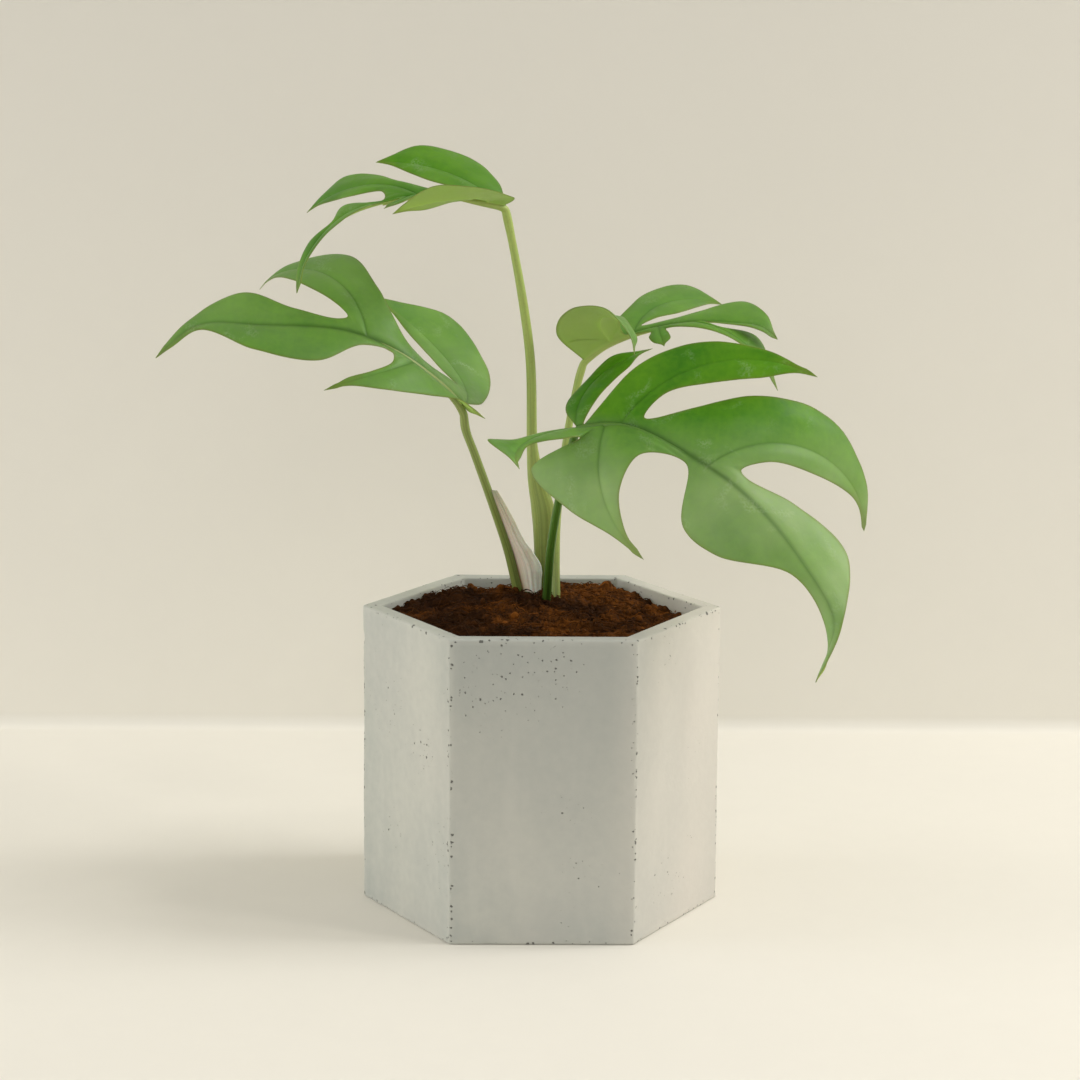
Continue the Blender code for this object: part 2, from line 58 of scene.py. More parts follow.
# Noise: the size of its cells, the seed of its random values and how many halved sizes are added up.
Wave = namedtuple("Wave", "cell seed count")
LATTICE = 64

# Pot: a six-sided casting with a corner on each side. Sizes are across, down and along its wall.
POT_CORNER_RADIUS = 60.0
POT_HEIGHT = 101.5
POCKET_CORNER_RADIUS = 53.4
POT_FLOOR = 9.0
FLAT = np.cos(np.pi / 6)
CORNER_ROUND = 1.1
RIM_ROUND = 0.7
BASE_ROUND = 0.8
CORNER_STEPS = 7
SIDE_STEPS = 52
WALL_ROWS = 64
PERIMETER_CORNERS = 6
# Where air pits gather on the pot: the middle of each cluster and how far it reaches.
PIT_CLUSTERS = (((-12, -52, 91), 24), ((4, -52, 90), 15), ((-24, -52, 84), 10), ((-38, -36, 60), 12),
                ((-52, -14, 78), 8), ((41, -34, 93), 10), ((14, -52, 22), 9), ((-50, -18, 30), 10),
                ((52, 16, 60), 14), ((0, 52, 70), 16))
# Waves of the casting, a grain on its edges and chips in them, and how far each moves the wall.
SLOW_WAVE, SLOW_PUSH = Wave(34.0, 3, 3), 0.16
GRAIN_WAVE, GRAIN_PUSH = Wave(3.2, 11, 2), 0.05
CHIP_PUSH = 0.9
# Chips: the cell of each noise, its seed, how deep it has to go to count, and its share.
CHIPS = ((4.5, 21, 0.55, 1), (2.0, 22, 0.6, 0.6))
# The top of the rim also rises and falls: by how much with the waves and the chips, and down to what depth.
TOP_WAVE, TOP_CHIP, TOP_DEPTH = 0.10, 0.5, 4
# Colours of the concrete's pale streaks and its rubbed edges, and the painted shade inside its pits.
LIME_STREAK = (0.66, 0.65, 0.59, 1)
WORN_EDGE = (0.62, 0.62, 0.55, 1)
PAINTED_PIT_SHADE = (0.095, 0.095, 0.085, 1)

# Soil: coir that fills the pocket, mounded round the stalks and heaped a little on the left.
SOIL_GAP = 0.35
SOIL_LEVEL = 97.2
Heap = namedtuple("Heap", "x y height spread")
SOIL_HEAPS = (
    Heap(-1.0, 21.0, 4.6, 15.0),
    Heap(-33.0, 22.0, 3.0, 10.0),
    Heap(-34.0, -8.0, 1.6, 12.0),
    Heap(20.0, 38.0, 1.4, 9.0),
    Heap(-18.0, 44.0, -2.2, 6.0),
    Heap(44.0, 12.0, -1.6, 10.0),
)
CLOD_HEIGHT = 0.55
# Loose waves on the bed, how high they stand, and how far the bed sinks for its crumbs.
LOOSE_WAVE, LOOSE_HEIGHT, LOOSE_SINK = Wave(7.0, 31, 3), 0.5, 0.9
SOIL_RINGS = 120
SOIL_SECTORS = 432
# Crumbs of each size: the side of a cell of the jittered grid, and how tall a crumb stands for its radius.
CRUMB_SIZES = ((7.0, 0.34), (3.6, 0.5), (2.0, 0.6), (1.1, 0.6))
CRUMB_SEED = 41

# Loose crumbs are balls of a few rings, and fibres are tubes of a few rings. They keep off the pocket's
# walls.
BALL_ROWS, BALL_SIDES, BALL_SEED = 6, 8, 57
DENT_DEPTH, DENT_SEED = 0.38, 63
FIBRE_ROWS, FIBRE_SIDES, FIBRE_SEED = 8, 4, 71
WALL_CLEARANCE = 2.2
FIBRE_CLEARANCE = 1.5
FIBRE_TAPER = np.array([0.3, 0.8, 1, 1, 1, 1, 0.8, 0.3])

# Blades: the veins' feet lie on equal steps of the midrib. Between its veins the sheet arches by a share of
# its width. Widths are set at stations along each vein and along the end lobe, and near a lobe's tip the
# width is a share of its last one. Row places go from the vein, at 0, out to the margin, at 1.
MIDRIB_STEPS = 150
VEIN_STEPS = 48
MARGIN_STEPS = 16
ROW_PLACES = np.array([0, 0.012, 0.03, 0.055, 0.09, 0.14, 0.21, 0.3, 0.41, 0.53, 0.65, 0.76, 0.85, 0.92,
                       0.97, 1])
BLADE_ARCH = 0.05
VEIN_STATIONS = (0.25, 0.5, 0.75, 0.9)
TIP_STATIONS = (0.1, 0.3, 0.55, 0.78, 0.92)
TIP_ANGLE = 20.0
DRIP_WIDTH = 0.28
LEAST_WIDTH = 1.0
POINT_TAPER = 0.25
BLADE_THICKNESS = 0.34
MARGIN_THICKNESS = 0.14
# Ribs: how far the midrib and the side veins stand out below and sink in above, and how wide they are.
MIDRIB_WIDTH = 1.15
VEIN_WIDTH = 0.75
RIB_BELOW = 0.95
RIB_ABOVE = 0.22
# Slow waves of the sheet and a fine quilting between its veins, and how far each lifts it.
SHEET_WAVE, SHEET_LIFT = Wave(13.0, 97, 2), 0.42
QUILT_STEP, QUILT_LIFT = 0.9, 0.10
# Colour of the mineral dust, and how much of each blade the painted sheen covers, apart from the low half of
# the hanging one. The sheen is a pale haze painted in place of the blades' reflection of the bright room.
DUST = (0.50, 0.56, 0.42, 1)
SHEEN_BY_BLADE = {"leaf_top": 0.10, "leaf_left": 0.42, "leaf_front": 0.04, "leaf_back": 0.32}

# How finely the midrib and the side veins are followed, and the share of the midrib that sets its direction.
MIDRIB_SPAN_STEPS = 16
VEIN_SAMPLES = 24
TANGENT_REACH = 0.04

# A lobe is a strip along its side vein. Foot is the vein's place on the midrib, from 0 at the stalk to 1 at
# the tip. Angle is measured from the midrib, bow is how far the vein swings towards the tip, lift raises the
# lobe out of the blade, droop bends it down along its length and twist turns it about its vein. Front and
# back are its widths towards the tip and towards the stalk, at a quarter, half and three quarters.
Lobe = namedtuple("Lobe", "foot length angle bow lift droop twist front back")
# A sinus is the rounded end of the cut between two lobes: its place along the midrib and its distance off it.
Sinus = namedtuple("Sinus", "place depth")
# The end lobe takes the rest of a side, from its start along the midrib.
Side = namedtuple("Side", "lobes sinuses tip_start tip_widths tip_lift")
Leaf = namedtuple("Leaf", "midrib roll left right")

LEAF_FRONT = Leaf(
    midrib=((10.5, -22, 165.5), (26, -30, 167.5), (46.5, -38, 159), (65, -44, 146.5),
            (81.5, -49, 127.5), (92, -54, 108), (86, -60, 90)),
    roll=(48, 48, 50, 50, 45),
    left=Side(
        lobes=(Lobe(0.00, 47, 116, 93, -12, 8, 21, (6.5, 9, 9), (5, 4.5, 8)),
               Lobe(0.12, 72, 73, 85, 5, 23, 3, (4, 7.5, 6.5), (11.5, 9, 4)),
               Lobe(0.36, 88, 73, 110, 8, 78, 10, (6.5, 7, 2), (17, 14, 5.5))),
        sinuses=(Sinus(0.02, 1), Sinus(0.16, 4.5), Sinus(0.39, 8)),
        tip_start=0.39, tip_widths=(5.5, 12, 16.5, 3, 4.5), tip_lift=-14),
    right=Side(
        lobes=(Lobe(0.00, 43, 143, 99, 49, 24, -50, (9, 2, 2), (2.5, 3.5, 10)),
               Lobe(0.08, 50, 101, 63, -9, 28, 5, (15, 6, 2), (24.5, 12.5, 3))),
        sinuses=(Sinus(0.06, 8), Sinus(0.30, 3.5)),
        tip_start=0.33, tip_widths=(20.5, 20.5, 5, 4.5, 3), tip_lift=-20))

LEAF_LEFT = Leaf(
    midrib=((-26.5, 4, 169), (-36, 0, 178.5), (-48.5, -4, 188), (-65, -8, 195),
            (-91.5, -12, 197), (-112.5, -14, 197), (-126, -16, 186.5)),
    roll=(-42, -42, -40, -36, -30),
    left=Side(
        lobes=(Lobe(0.04, 13, 152, 1, 36, -10, 35, (1.5, 1.5, 1), (1.5, 3.5, 1)),
               Lobe(0.20, 35, 56, 28, 2, 56, -16, (2.5, 1.5, 1.8), (10.5, 6.5, 1.8))),
        sinuses=(Sinus(0.07, 6), Sinus(0.25, 3.5)),
        tip_start=0.30, tip_widths=(4.5, 15, 11.5, 2.5, 1.5), tip_lift=-1),
    right=Side(
        lobes=(Lobe(0.00, 76, 117, 104, -18, 14, -37, (4.5, 8, 5), (7.5, 17.5, 18)),
               Lobe(0.36, 70, 72, 70, 14, 91, 12, (8, 9.5, 4), (11, 14.5, 5))),
        sinuses=(Sinus(0.24, 6.5), Sinus(0.38, 7.5)),
        tip_start=0.39, tip_widths=(4.5, 8, 14.5, 4, 2), tip_lift=0))

LEAF_TOP = Leaf(
    midrib=((-13, 10, 234.5), (-19.5, 6, 236), (-34, 0, 239), (-50.5, -6, 237),
            (-65.5, -11, 231.5), (-76.5, -16, 220), (-80, -18, 208)),
    roll=(-4, -4, 0, 4, 4),
    left=Side(
        lobes=(Lobe(0.08, 48, 67, 110, 11, 27, -28, (4, 5, 5), (11, 12, 11.5)),
               Lobe(0.40, 15, 53, 27, 1, 9, 0, (1.5, 2, 2), (3, 3, 2))),
        sinuses=(Sinus(0.32, 3), Sinus(0.48, 3)),
        tip_start=0.54, tip_widths=(7, 9, 5.5, 2, 2), tip_lift=9),
    right=Side(
        lobes=(Lobe(0.04, 50, 92, 75, 21, 22, -23, (7, 9.5, 5.5), (10.5, 16, 11.5)),
               Lobe(0.36, 49, 67, 37, 21, 49, -8, (5, 8, 4.5), (4, 8.5, 12))),
        sinuses=(Sinus(0.26, 2), Sinus(0.47, 2.5)),
        tip_start=0.57, tip_widths=(10, 3, 5, 3, 1.5), tip_lift=9))

LEAF_BACK = Leaf(
    midrib=((14, 34, 180), (20.5, 34, 185), (33, 34, 190), (50, 33, 193.5),
            (63.5, 31, 193.5), (74, 28, 192.5), (79.5, 26, 188.5)),
    roll=(6, 6, 8, 12, 16),
    left=Side(
        lobes=(Lobe(0.28, 43, 73, 90, 22, 34, -6, (5, 8, 5), (8, 10, 9)),),
        sinuses=(Sinus(0.28, 4.5),),
        tip_start=0.52, tip_widths=(6, 10, 13, 6.5, 1.5), tip_lift=15),
    right=Side(
        lobes=(Lobe(0.16, 54, 107, 110, 60, 109, -9, (7, 6, 6), (15, 14.5, 12.5)),
               Lobe(0.40, 10, 92, 13, -12, 39, 0, (2.5, 3, 3), (3, 4, 3)),
               Lobe(0.56, 41, 25, -6, -1, 70, -5, (1.5, 9.5, 4.5), (4, 2, 2))),
        sinuses=(Sinus(0.24, 2), Sinus(0.46, 4), Sinus(0.61, 1.5)),
        tip_start=0.68, tip_widths=(2, 2.5, 3.5, 3, 2), tip_lift=4))

# Stalks: points up the middle of each stalk, from the soil to its end under the blade, and the radius at
# each. The foot goes on below the soil.
BURIED = 14.0
STALK_SIDES = 24
STALK_SPAN_STEPS = 12
Stalk = namedtuple("Stalk", "points radii")
STALKS = {
    "petiole_top": Stalk(
        ((0, 23, 102), (0, 21.5, 116.5), (-0.5, 20.5, 130.5), (-2.5, 19.5, 141), (-3.5, 18, 153),
         (-4.2, 15.3, 181.5), (-7, 13.2, 203), (-11, 11, 224.5), (-13, 10, 233.85)),
        (2.2, 2.6, 3.2, 2.4, 1.8, 1.6, 1.5, 1.3, 1.3)),
    "petiole_left": Stalk(
        ((-8, 24, 102.5), (-11.5, 20, 117), (-16.8, 14.8, 133.5), (-23, 9, 152), (-25.8, 6.8, 160),
         (-26.45, 5, 166)),
        (1.9, 1.7, 1.5, 1.4, 1.3, 1.3)),
    "petiole_front": Stalk(
        ((1.7, 12, 102), (2.8, 2.5, 120.5), (4.8, -6, 136), (7.7, -14.5, 151.5), (9.5, -19, 160),
         (10.5, -21.45, 164.6)),
        (1.5, 1.45, 1.4, 1.3, 1.2, 1.2)),
    "petiole_back": Stalk(
        ((4.8, 17, 102), (4.7, 19.5, 113), (5.2, 23, 128), (8.8, 29, 156.5), (12.2, 32.5, 173),
         (14.15, 33.95, 179.45)),
        (1.6, 1.5, 1.4, 1.3, 1.2, 1.2)),
}

# A stalk goes on under its blade for a share of the midrib, where it thins to a radius at a depth.
RIB_REACH = 0.5
RIB_ROWS = 26
RIB_RADIUS = 0.35
RIB_DEPTH = 0.75
# Below its blade a stalk swells: by how much, how far below the blade's start, and over what length.
SWELL, SWELL_BELOW, SWELL_LENGTH = 0.16, 4.5, 4.0
# The top stalk has a wing on one side: its lowest, widest and highest heights, and how far it stands out.
TOP_WING = (101.0, 128.0, 153.0, 2.1)
NO_WING = (0.0, 1.0, 2.0, 0.0)
# How far each stalk's green goes from the pale one to the deep one.
STALK_SHADE = {"petiole_left": 0.6, "petiole_top": 0.1}
WING_GREEN = (0.16, 0.185, 0.02, 1)

LEAVES = {"leaf_top": LEAF_TOP, "leaf_left": LEAF_LEFT, "leaf_front": LEAF_FRONT, "leaf_back": LEAF_BACK}

# Sheath: a papery strip that stands in the soil beside the left stalk and narrows up along it. Its free edge
# is listed, its other edge follows the stalk, and it bulges towards the front.
SHEATH_EDGE = ((0, 19.5, 96), (0, 19, 103.5), (0.1, 17.6, 111), (-2.4, 16.7, 116), (-6, 15.8, 121),
               (-9.9, 14.3, 129), (-13, 13.2, 134.7), (-15.2, 12.5, 138.5))
# How far it bulges, tucks in beside the stalk, and is ridged and crumpled, and how ragged its free edge is.
SHEATH_BULGE = 2.0
SHEATH_TUCK = 0.9
SHEATH_RIDGE = 0.16
CRUMPLE_WAVE, SHEATH_CRUMPLE = Wave(5.0, 87, 3), 0.22
RAGGED_CELL, RAGGED_SEED, RAGGED_SHARE = 1.6, 83, 0.025
SHEATH_ROWS = 90
SHEATH_COLUMNS = 26
SHEATH_SPAN_STEPS = 12
SHEATH_THICKNESS = 0.22
# Colours of the sheath beside the stalk, in its upper part and in its spots.
SHEATH_SEAM = (0.12, 0.09, 0.02, 1)
SHEATH_GREEN = (0.30, 0.34, 0.16, 1)
SHEATH_SPOT = (0.60, 0.56, 0.42, 1)

# Camera: its place in millimetres, its turns in radians, and its lens on a square 36 mm sensor.
CAMERA_PLACE = (-10.9758, -977.3273, 311.6896)
CAMERA_PITCH, CAMERA_YAW, CAMERA_ROLL = 0.1898, 0.0104, 0.0066
CAMERA_LENS = 99.402
SENSOR = 36.0

# Stage: a floor that turns up into a wall behind.
FLOOR_HALF_WIDTH = 1400.0
FLOOR_FRONT = -1400.0
WALL_PLACE = 228.0
WALL_TOP = 1500.0
WALL_FILLET = 6.0
# Lights: name, field of the stage's looks with the power, width in metres, place, target and colour.
LIGHTS = (
    ("Key", "key", 0.2, (900, -450, 1090), (0, 0, 90), (1.0, 0.95, 0.87)),
    ("Right window", "right", 0.9, (1070, 130, 980), (0, 0, 60), (1.0, 0.98, 0.945)),
    ("Front window", "front", 0.7, (-60, -1500, 560), (0, 0, 100), (1.0, 0.985, 0.95)),
    ("Left window", "left", 1.4, (-1080, -900, 640), (0, 0, 80), (1.0, 0.985, 0.95)),
    ("Back window", "back", 1.0, (-1150, 120, 420), (0, 0, 60), (1.0, 0.985, 0.95)),
)


def smooth_path(points, steps):
    """Carry a centripetal Catmull-Rom curve through the points, with the given steps to each span."""
    points = np.asarray(points, float)
    ends = (2 * points[:1] - points[1:2], 2 * points[-1:] - points[-2:-1])
    q = np.vstack([ends[0], points, ends[1]])
    spacing = np.maximum(np.linalg.norm(np.diff(q, axis=0), axis=1), 1e-6) ** 0.5
    knots = np.concatenate([[0.0], np.cumsum(spacing)])
    spans = []
    for i in range(1, len(q) - 2):
        t0, t1, t2, t3 = knots[i - 1:i + 3]
        t = np.linspace(t1, t2, steps, endpoint=False)[:, None]
        a1 = ((t1 - t) * q[i - 1] + (t - t0) * q[i]) / (t1 - t0)
        a2 = ((t2 - t) * q[i] + (t - t1) * q[i + 1]) / (t2 - t1)
        a3 = ((t3 - t) * q[i + 1] + (t - t2) * q[i + 2]) / (t3 - t2)
        b1 = ((t2 - t) * a1 + (t - t0) * a2) / (t2 - t0)
        b2 = ((t3 - t) * a2 + (t - t1) * a3) / (t3 - t1)
        spans.append(((t2 - t) * b1 + (t - t1) * b2) / (t2 - t1))
    return np.vstack(spans + [points[-1:]])


def along(places, knots, values):
    """Read each column of values at the given places between the knots."""
    return np.stack([np.interp(places, knots, column) for column in np.asarray(values, float).T], axis=-1)


def unit(vectors):
    """Scale each vector to length one."""
    return vectors / np.linalg.norm(vectors, axis=-1, keepdims=True)


def travelled(points):
    """Distance gone along a line of points, at each point."""
    return np.concatenate([[0], np.cumsum(np.linalg.norm(np.diff(points, axis=0), axis=1))])


def around(angle):
    """Points of the unit circle at the given angles."""
    return np.stack([np.cos(angle), np.sin(angle)], -1)


def spread_over(shape, *columns):
    """Carry values over a grid and set them side by side."""
    return np.stack([np.broadcast_to(column, shape) for column in columns], -1)


class Midrib:
    """The midrib's curve, read by its share of the length, and the blade's own directions along it."""

    def __init__(self, leaf):
        self.curve = smooth_path(leaf.midrib, MIDRIB_SPAN_STEPS)
        lengths = np.linalg.norm(np.diff(self.curve, axis=0), axis=1)
        self.share = np.concatenate([[0.0], np.cumsum(lengths)]) / lengths.sum()
        self.roll = leaf.roll

    def at(self, place):
        return along(np.atleast_1d(place), self.share, self.curve)

    def frame(self, place):
        """Give the directions along the midrib, to the blade's left and out of its upper face."""
        place = np.atleast_1d(place)
        further, nearer = np.minimum(place + TANGENT_REACH, 1), np.maximum(place - TANGENT_REACH, 0)
        ahead = unit(self.at(further) - self.at(nearer))
        level_up = unit(np.array([0, 0, 1.0]) - ahead[:, 2:] * ahead)
        level_left = np.cross(level_up, ahead)
        roll = np.radians(np.interp(place, np.linspace(0, 1, len(self.roll)), self.roll))[:, None]
        left = level_left * np.cos(roll) + level_up * np.sin(roll)
        up = level_up * np.cos(roll) - level_left * np.sin(roll)
        return ahead, left, up


def raised(out, up, lift):
    """Turn the outward and upward directions about the midrib by the lift, in degrees."""
    turn = np.radians(lift)
    return out * np.cos(turn) + up * np.sin(turn), up * np.cos(turn) - out * np.sin(turn)


def vein_lines(midrib, lobe, hand, steps):
    """Carry a side vein out from its foot, and give its points, forward directions and normals."""
    ahead, left, up = (way[0] for way in midrib.frame(lobe.foot))
    out, normal = raised(hand * left, up, lobe.lift)
    x = np.linspace(0, 1, steps + 1)[:, None]
    swing = np.radians(lobe.angle - lobe.bow * x)
    droop = np.radians(lobe.droop * x)
    twist = np.radians(lobe.twist * x)
    in_plane = np.cos(swing) * ahead + np.sin(swing) * out
    heading = np.cos(droop) * in_plane - np.sin(droop) * normal
    forward = np.sin(swing) * ahead - np.cos(swing) * out
    face = np.cos(droop) * normal + np.sin(droop) * in_plane
    strides = (heading[1:] + heading[:-1]) / 2 * lobe.length / steps
    points = midrib.at(lobe.foot) + np.vstack([np.zeros(3), np.cumsum(strides, axis=0)])
    return (points, forward * np.cos(twist) + face * np.sin(twist),
            face * np.cos(twist) - forward * np.sin(twist))


def lobe_margins(midrib, lobe, hand):
    """Give the vein's tip and the margin points ahead of and behind the vein, from foot to tip."""
    points, forward, _ = vein_lines(midrib, lobe, hand, VEIN_SAMPLES)
    x = np.linspace(0, 1, VEIN_SAMPLES + 1)
    base = along(VEIN_STATIONS, x, points)
    way = along(VEIN_STATIONS, x, forward)
    front = np.array([*lobe.front, DRIP_WIDTH * lobe.front[2]])[:, None]
    back = np.array([*lobe.back, DRIP_WIDTH * lobe.back[2]])[:, None]
    return points[-1:], base + way * front, base - way * back


def tip_places(side):
    return side.tip_start + (1 - side.tip_start) * np.array(TIP_STATIONS)


def tip_margin(midrib, side, hand):
    """Give the margin points of the end lobe on one side, from its start to the leaf's tip."""
    place = tip_places(side)
    _, left, up = midrib.frame(place)
    out, _ = raised(hand * left, up, side.tip_lift)
    return midrib.at(place) + np.array(side.tip_widths)[:, None] * out


def sinus_point(midrib, sinus, lobe, next_angle, next_lift, hand):
    """Place the end of a cut between a lobe and the next one."""
    ahead, left, up = midrib.frame(sinus.place)
    out, _ = raised(hand * left, up, (lobe.lift + next_lift) / 2)
    heading = np.radians((lobe.angle + next_angle) / 2)
    return midrib.at(sinus.place) + sinus.depth * (np.cos(heading) * ahead + np.sin(heading) * out)


def kept_off(inner, outer, sideways):
    """Move the margin out to the least width wherever it comes nearer to a side vein, less so at a tip."""
    travel = travelled(inner)
    from_end = np.minimum(travel, travel[-1] - travel)
    least = np.minimum(LEAST_WIDTH, POINT_TAPER * from_end)
    reach = np.sum((outer - inner) * sideways, axis=1)
    return outer + np.maximum(least - reach, 0)[:, None] * sideways


def blade_sectors(leaf):
    """Yield each sector between neighbouring veins: its inner line with normals, and its margin.

    The inner line runs down one vein, along the midrib and out along the next vein. The margin goes from
    tip to tip round the sinus, and has a point for each point of the inner line. With them go which points
    lie on the midrib, how strong the rib is there, and the sector's side.
    """
    midrib = Midrib(leaf)
    far = 1 - np.array(VEIN_STATIONS)[::-1]
    fading = 0.75 - 0.65 * np.linspace(0, 1, VEIN_STEPS + 1)[1:]
    for hand, side in ((1, leaf.left), (-1, leaf.right)):
        lines = [vein_lines(midrib, lobe, hand, VEIN_STEPS) for lobe in side.lobes]
        margins = [lobe_margins(midrib, lobe, hand) for lobe in side.lobes]
        stops = [0, *(round(lobe.foot * MIDRIB_STEPS) for lobe in side.lobes), MIDRIB_STEPS]
        for i in range(len(side.lobes) + 1):
            rib_place = np.arange(stops[i], stops[i + 1] + 1) / MIDRIB_STEPS
            rib = midrib.at(rib_place)
            runs = [(rib, midrib.frame(rib_place)[2], 0 * rib, np.ones(len(rib)), 1 - 0.8 * rib_place)]
            root, anchors, knots = 0, [0], [rib[:1]]
            if i > 0:
                points, forward, face = (line[:0:-1] for line in lines[i - 1])
                runs.insert(0, (points, face, forward, 0 * fading, fading[::-1]))
                root = VEIN_STEPS
                anchors += [*(far * VEIN_STEPS)]
                knots = [margins[i - 1][0], margins[i - 1][1][::-1]]
            if i == len(side.lobes):
                ends = root + np.array([*tip_places(side), 1.0]) * MIDRIB_STEPS - stops[i]
                end_points = [tip_margin(midrib, side, hand), rib[-1:]]
                next_angle, next_lift = TIP_ANGLE, side.tip_lift
            else:
                points, forward, face = (line[1:] for line in lines[i])
                runs.append((points, face, -forward, 0 * fading, fading))
                ends = root + stops[i + 1] - stops[i] + np.array([*VEIN_STATIONS, 1.0]) * VEIN_STEPS
                end_points = [margins[i][2], margins[i][0]]
                next_angle, next_lift = side.lobes[i].angle, side.lobes[i].lift
            if i > 0:
                sinus = side.sinuses[i - 1]
                abreast = root + sinus.place * MIDRIB_STEPS - stops[i]
                anchors += [np.clip(abreast, anchors[-1] + 1, ends[0] - 1)]
                knots += [sinus_point(midrib, sinus, side.lobes[i - 1], next_angle, next_lift, hand)]
            anchors += [*ends]
            knots += end_points
            inner, normals, sideways, on_rib, strength = (np.concatenate(column) for column in zip(*runs))
            margin = smooth_path(np.vstack(knots), MARGIN_STEPS)
            knot_places = np.interp(np.arange(len(inner)), anchors, np.arange(len(anchors)))
            outer = along(knot_places, np.linspace(0, len(anchors) - 1, len(margin)), margin)
            outer = kept_off(inner, outer, sideways)
            outer[0], outer[-1] = knots[0][0], inner[-1]
            yield inner, unit(normals), outer, on_rib, strength, hand


def grid_faces(rows, columns, round_columns=False):
    """Number the corners of a grid's four-sided faces, row by row, closed along its rows if asked."""
    row = np.arange(rows - 1)[:, None]
    column = np.arange(columns if round_columns else columns - 1)[None, :]
    after = (column + 1) % columns
    corners = (row * columns + column, row * columns + after, (row + 1) * columns + after,
               (row + 1) * columns + column)
    return np.stack(np.broadcast_arrays(*corners), axis=-1).reshape(-1, 4)


def halved(quads):
    """Split each four-sided face into two triangles."""
    return np.concatenate([quads[:, [0, 1, 2]], quads[:, [0, 2, 3]]])


def joined(points, triangles):
    """Join points that fall together, and drop the triangles that close up.

    Gives the first point of each place, the triangles between those places, and which triangles stay.
    """
    keys = np.round(points / JOIN_WITHIN).astype(np.int64)
    _, first, place = np.unique(keys, axis=0, return_index=True, return_inverse=True)
    moved = place.reshape(-1)[triangles]
    a, b, c = moved.T
    stays = (a != b) & (b != c) & (c != a)
    return first, moved[stays], stays


def turned_out(points, triangles):
    """Turn a closed shape's faces outwards: the shape is turned round if it encloses a negative volume."""
    a, b, c = (points[triangles[:, i]] for i in range(3))
    volume = np.sum(a * np.cross(b, c))
    return triangles if volume > 0 else triangles[:, ::-1]


def point_normals(points, triangles):
    """Normals at the points: the faces' normals, weighted by area, added up at their corners."""
    a, b, c = (points[triangles[:, i]] for i in range(3))
    face = np.cross(b - a, c - a)
    total = np.zeros_like(points)
    for i in range(3):
        np.add.at(total, triangles[:, i], face)
    return total / np.maximum(np.linalg.norm(total, axis=1, keepdims=True), 1e-12)


def make_object(name, points, triangles, material, marks=None, across=None):
    """Put millimetre points and triangles into a smooth mesh, with marks at points and a map at corners."""
    mesh = bpy.data.meshes.new(name)
    mesh.vertices.add(len(points))
    mesh.vertices.foreach_set("co", (points * MM).astype(np.float32).ravel())
    mesh.loops.add(triangles.size)
    mesh.loops.foreach_set("vertex_index", triangles.astype(np.int32).ravel())
    mesh.polygons.add(len(triangles))
    mesh.polygons.foreach_set("loop_start", np.arange(0, triangles.size, 3, dtype=np.int32))
    for label, values in (marks or {}).items():
        layer = mesh.attributes.new(label, "FLOAT", "POINT")
        layer.data.foreach_set("value", np.asarray(values, np.float32).ravel())
    if across is not None:
        layer = mesh.uv_layers.new(name="Grain")
        layer.data.foreach_set("uv", np.asarray(across, np.float32).ravel())
    mesh.update(calc_edges=True)
    mesh.validate()
    mesh.shade_smooth()
    mesh.materials.append(material)
    return in_scene(name, mesh)


def in_scene(name, data):
    """Give a mesh, a light or a camera its object in the scene."""
    obj = bpy.data.objects.new(name, data)
    bpy.context.scene.collection.objects.link(obj)
    return obj


def place_piece(obj, node=None):
    """Let a piece ride with the object and stand for a node of the imported model, whose part it hides."""
    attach(obj, "root")
    if node:
        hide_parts(node)


def closed_grid(name, points, material, marks, turn=None):
    """Make a closed piece from a grid of points, round along its rows, whose end rows are one point each."""
    shape = points.shape[:2]
    flat = points.reshape(-1, 3)
    triangles = halved(grid_faces(*shape, True))
    first, kept, stays = joined(flat, triangles)
    marks = {label: np.broadcast_to(values, shape).ravel()[first] for label, values in marks.items()}
    across = None
    solid = flat[first]
    out = turned_out(solid, kept)
    if turn is not None:
        source = triangles[stays] if out is kept else triangles[stays][:, ::-1]
        across = corner_map(turn.reshape(-1, 2), source)
    return make_object(name, solid, out, material, marks, across)


def corner_map(places, triangles):
    """Read a map at the triangles' corners; where it goes round once, the last step runs on past one."""
    corners = places[triangles]
    wide = np.ptp(corners[:, :, 0], axis=1) > 0.5
    corners[:, :, 0] += (wide[:, None] & (corners[:, :, 0] < 0.5)).astype(float)
    return corners


def lattice_noise(x, y, z, cell, seed):
    """Smooth noise from -1 to 1: random values on a lattice, blended by smooth steps between them."""
    table = np.random.default_rng(seed).uniform(-1, 1, (LATTICE, LATTICE, LATTICE // 2))
    shape = np.broadcast(x, y, z).shape
    spots = [np.broadcast_to(np.asarray(value, float), shape) / cell for value in (x, y, z)]
    base = [np.floor(spot).astype(int) for spot in spots]
    share = [spot - low for spot, low in zip(spots, base)]
    share = [part * part * (3 - 2 * part) for part in share]
    total = 0
    for corner in np.ndindex(2, 2, 2):
        weight, index = 1, []
        for way, step in enumerate(corner):
            weight = weight * (share[way] if step else 1 - share[way])
            index.append((base[way] + step) % table.shape[way])
        total = total + weight * table[tuple(index)]
    return total


def octaves(x, y, z, cell, seed, count):
    """Add lattice noise of halved cells and halved heights, as many times as the wave counts."""
    return sum(lattice_noise(x, y, z, cell / 2 ** i, seed + i) / 2 ** i for i in range(count))


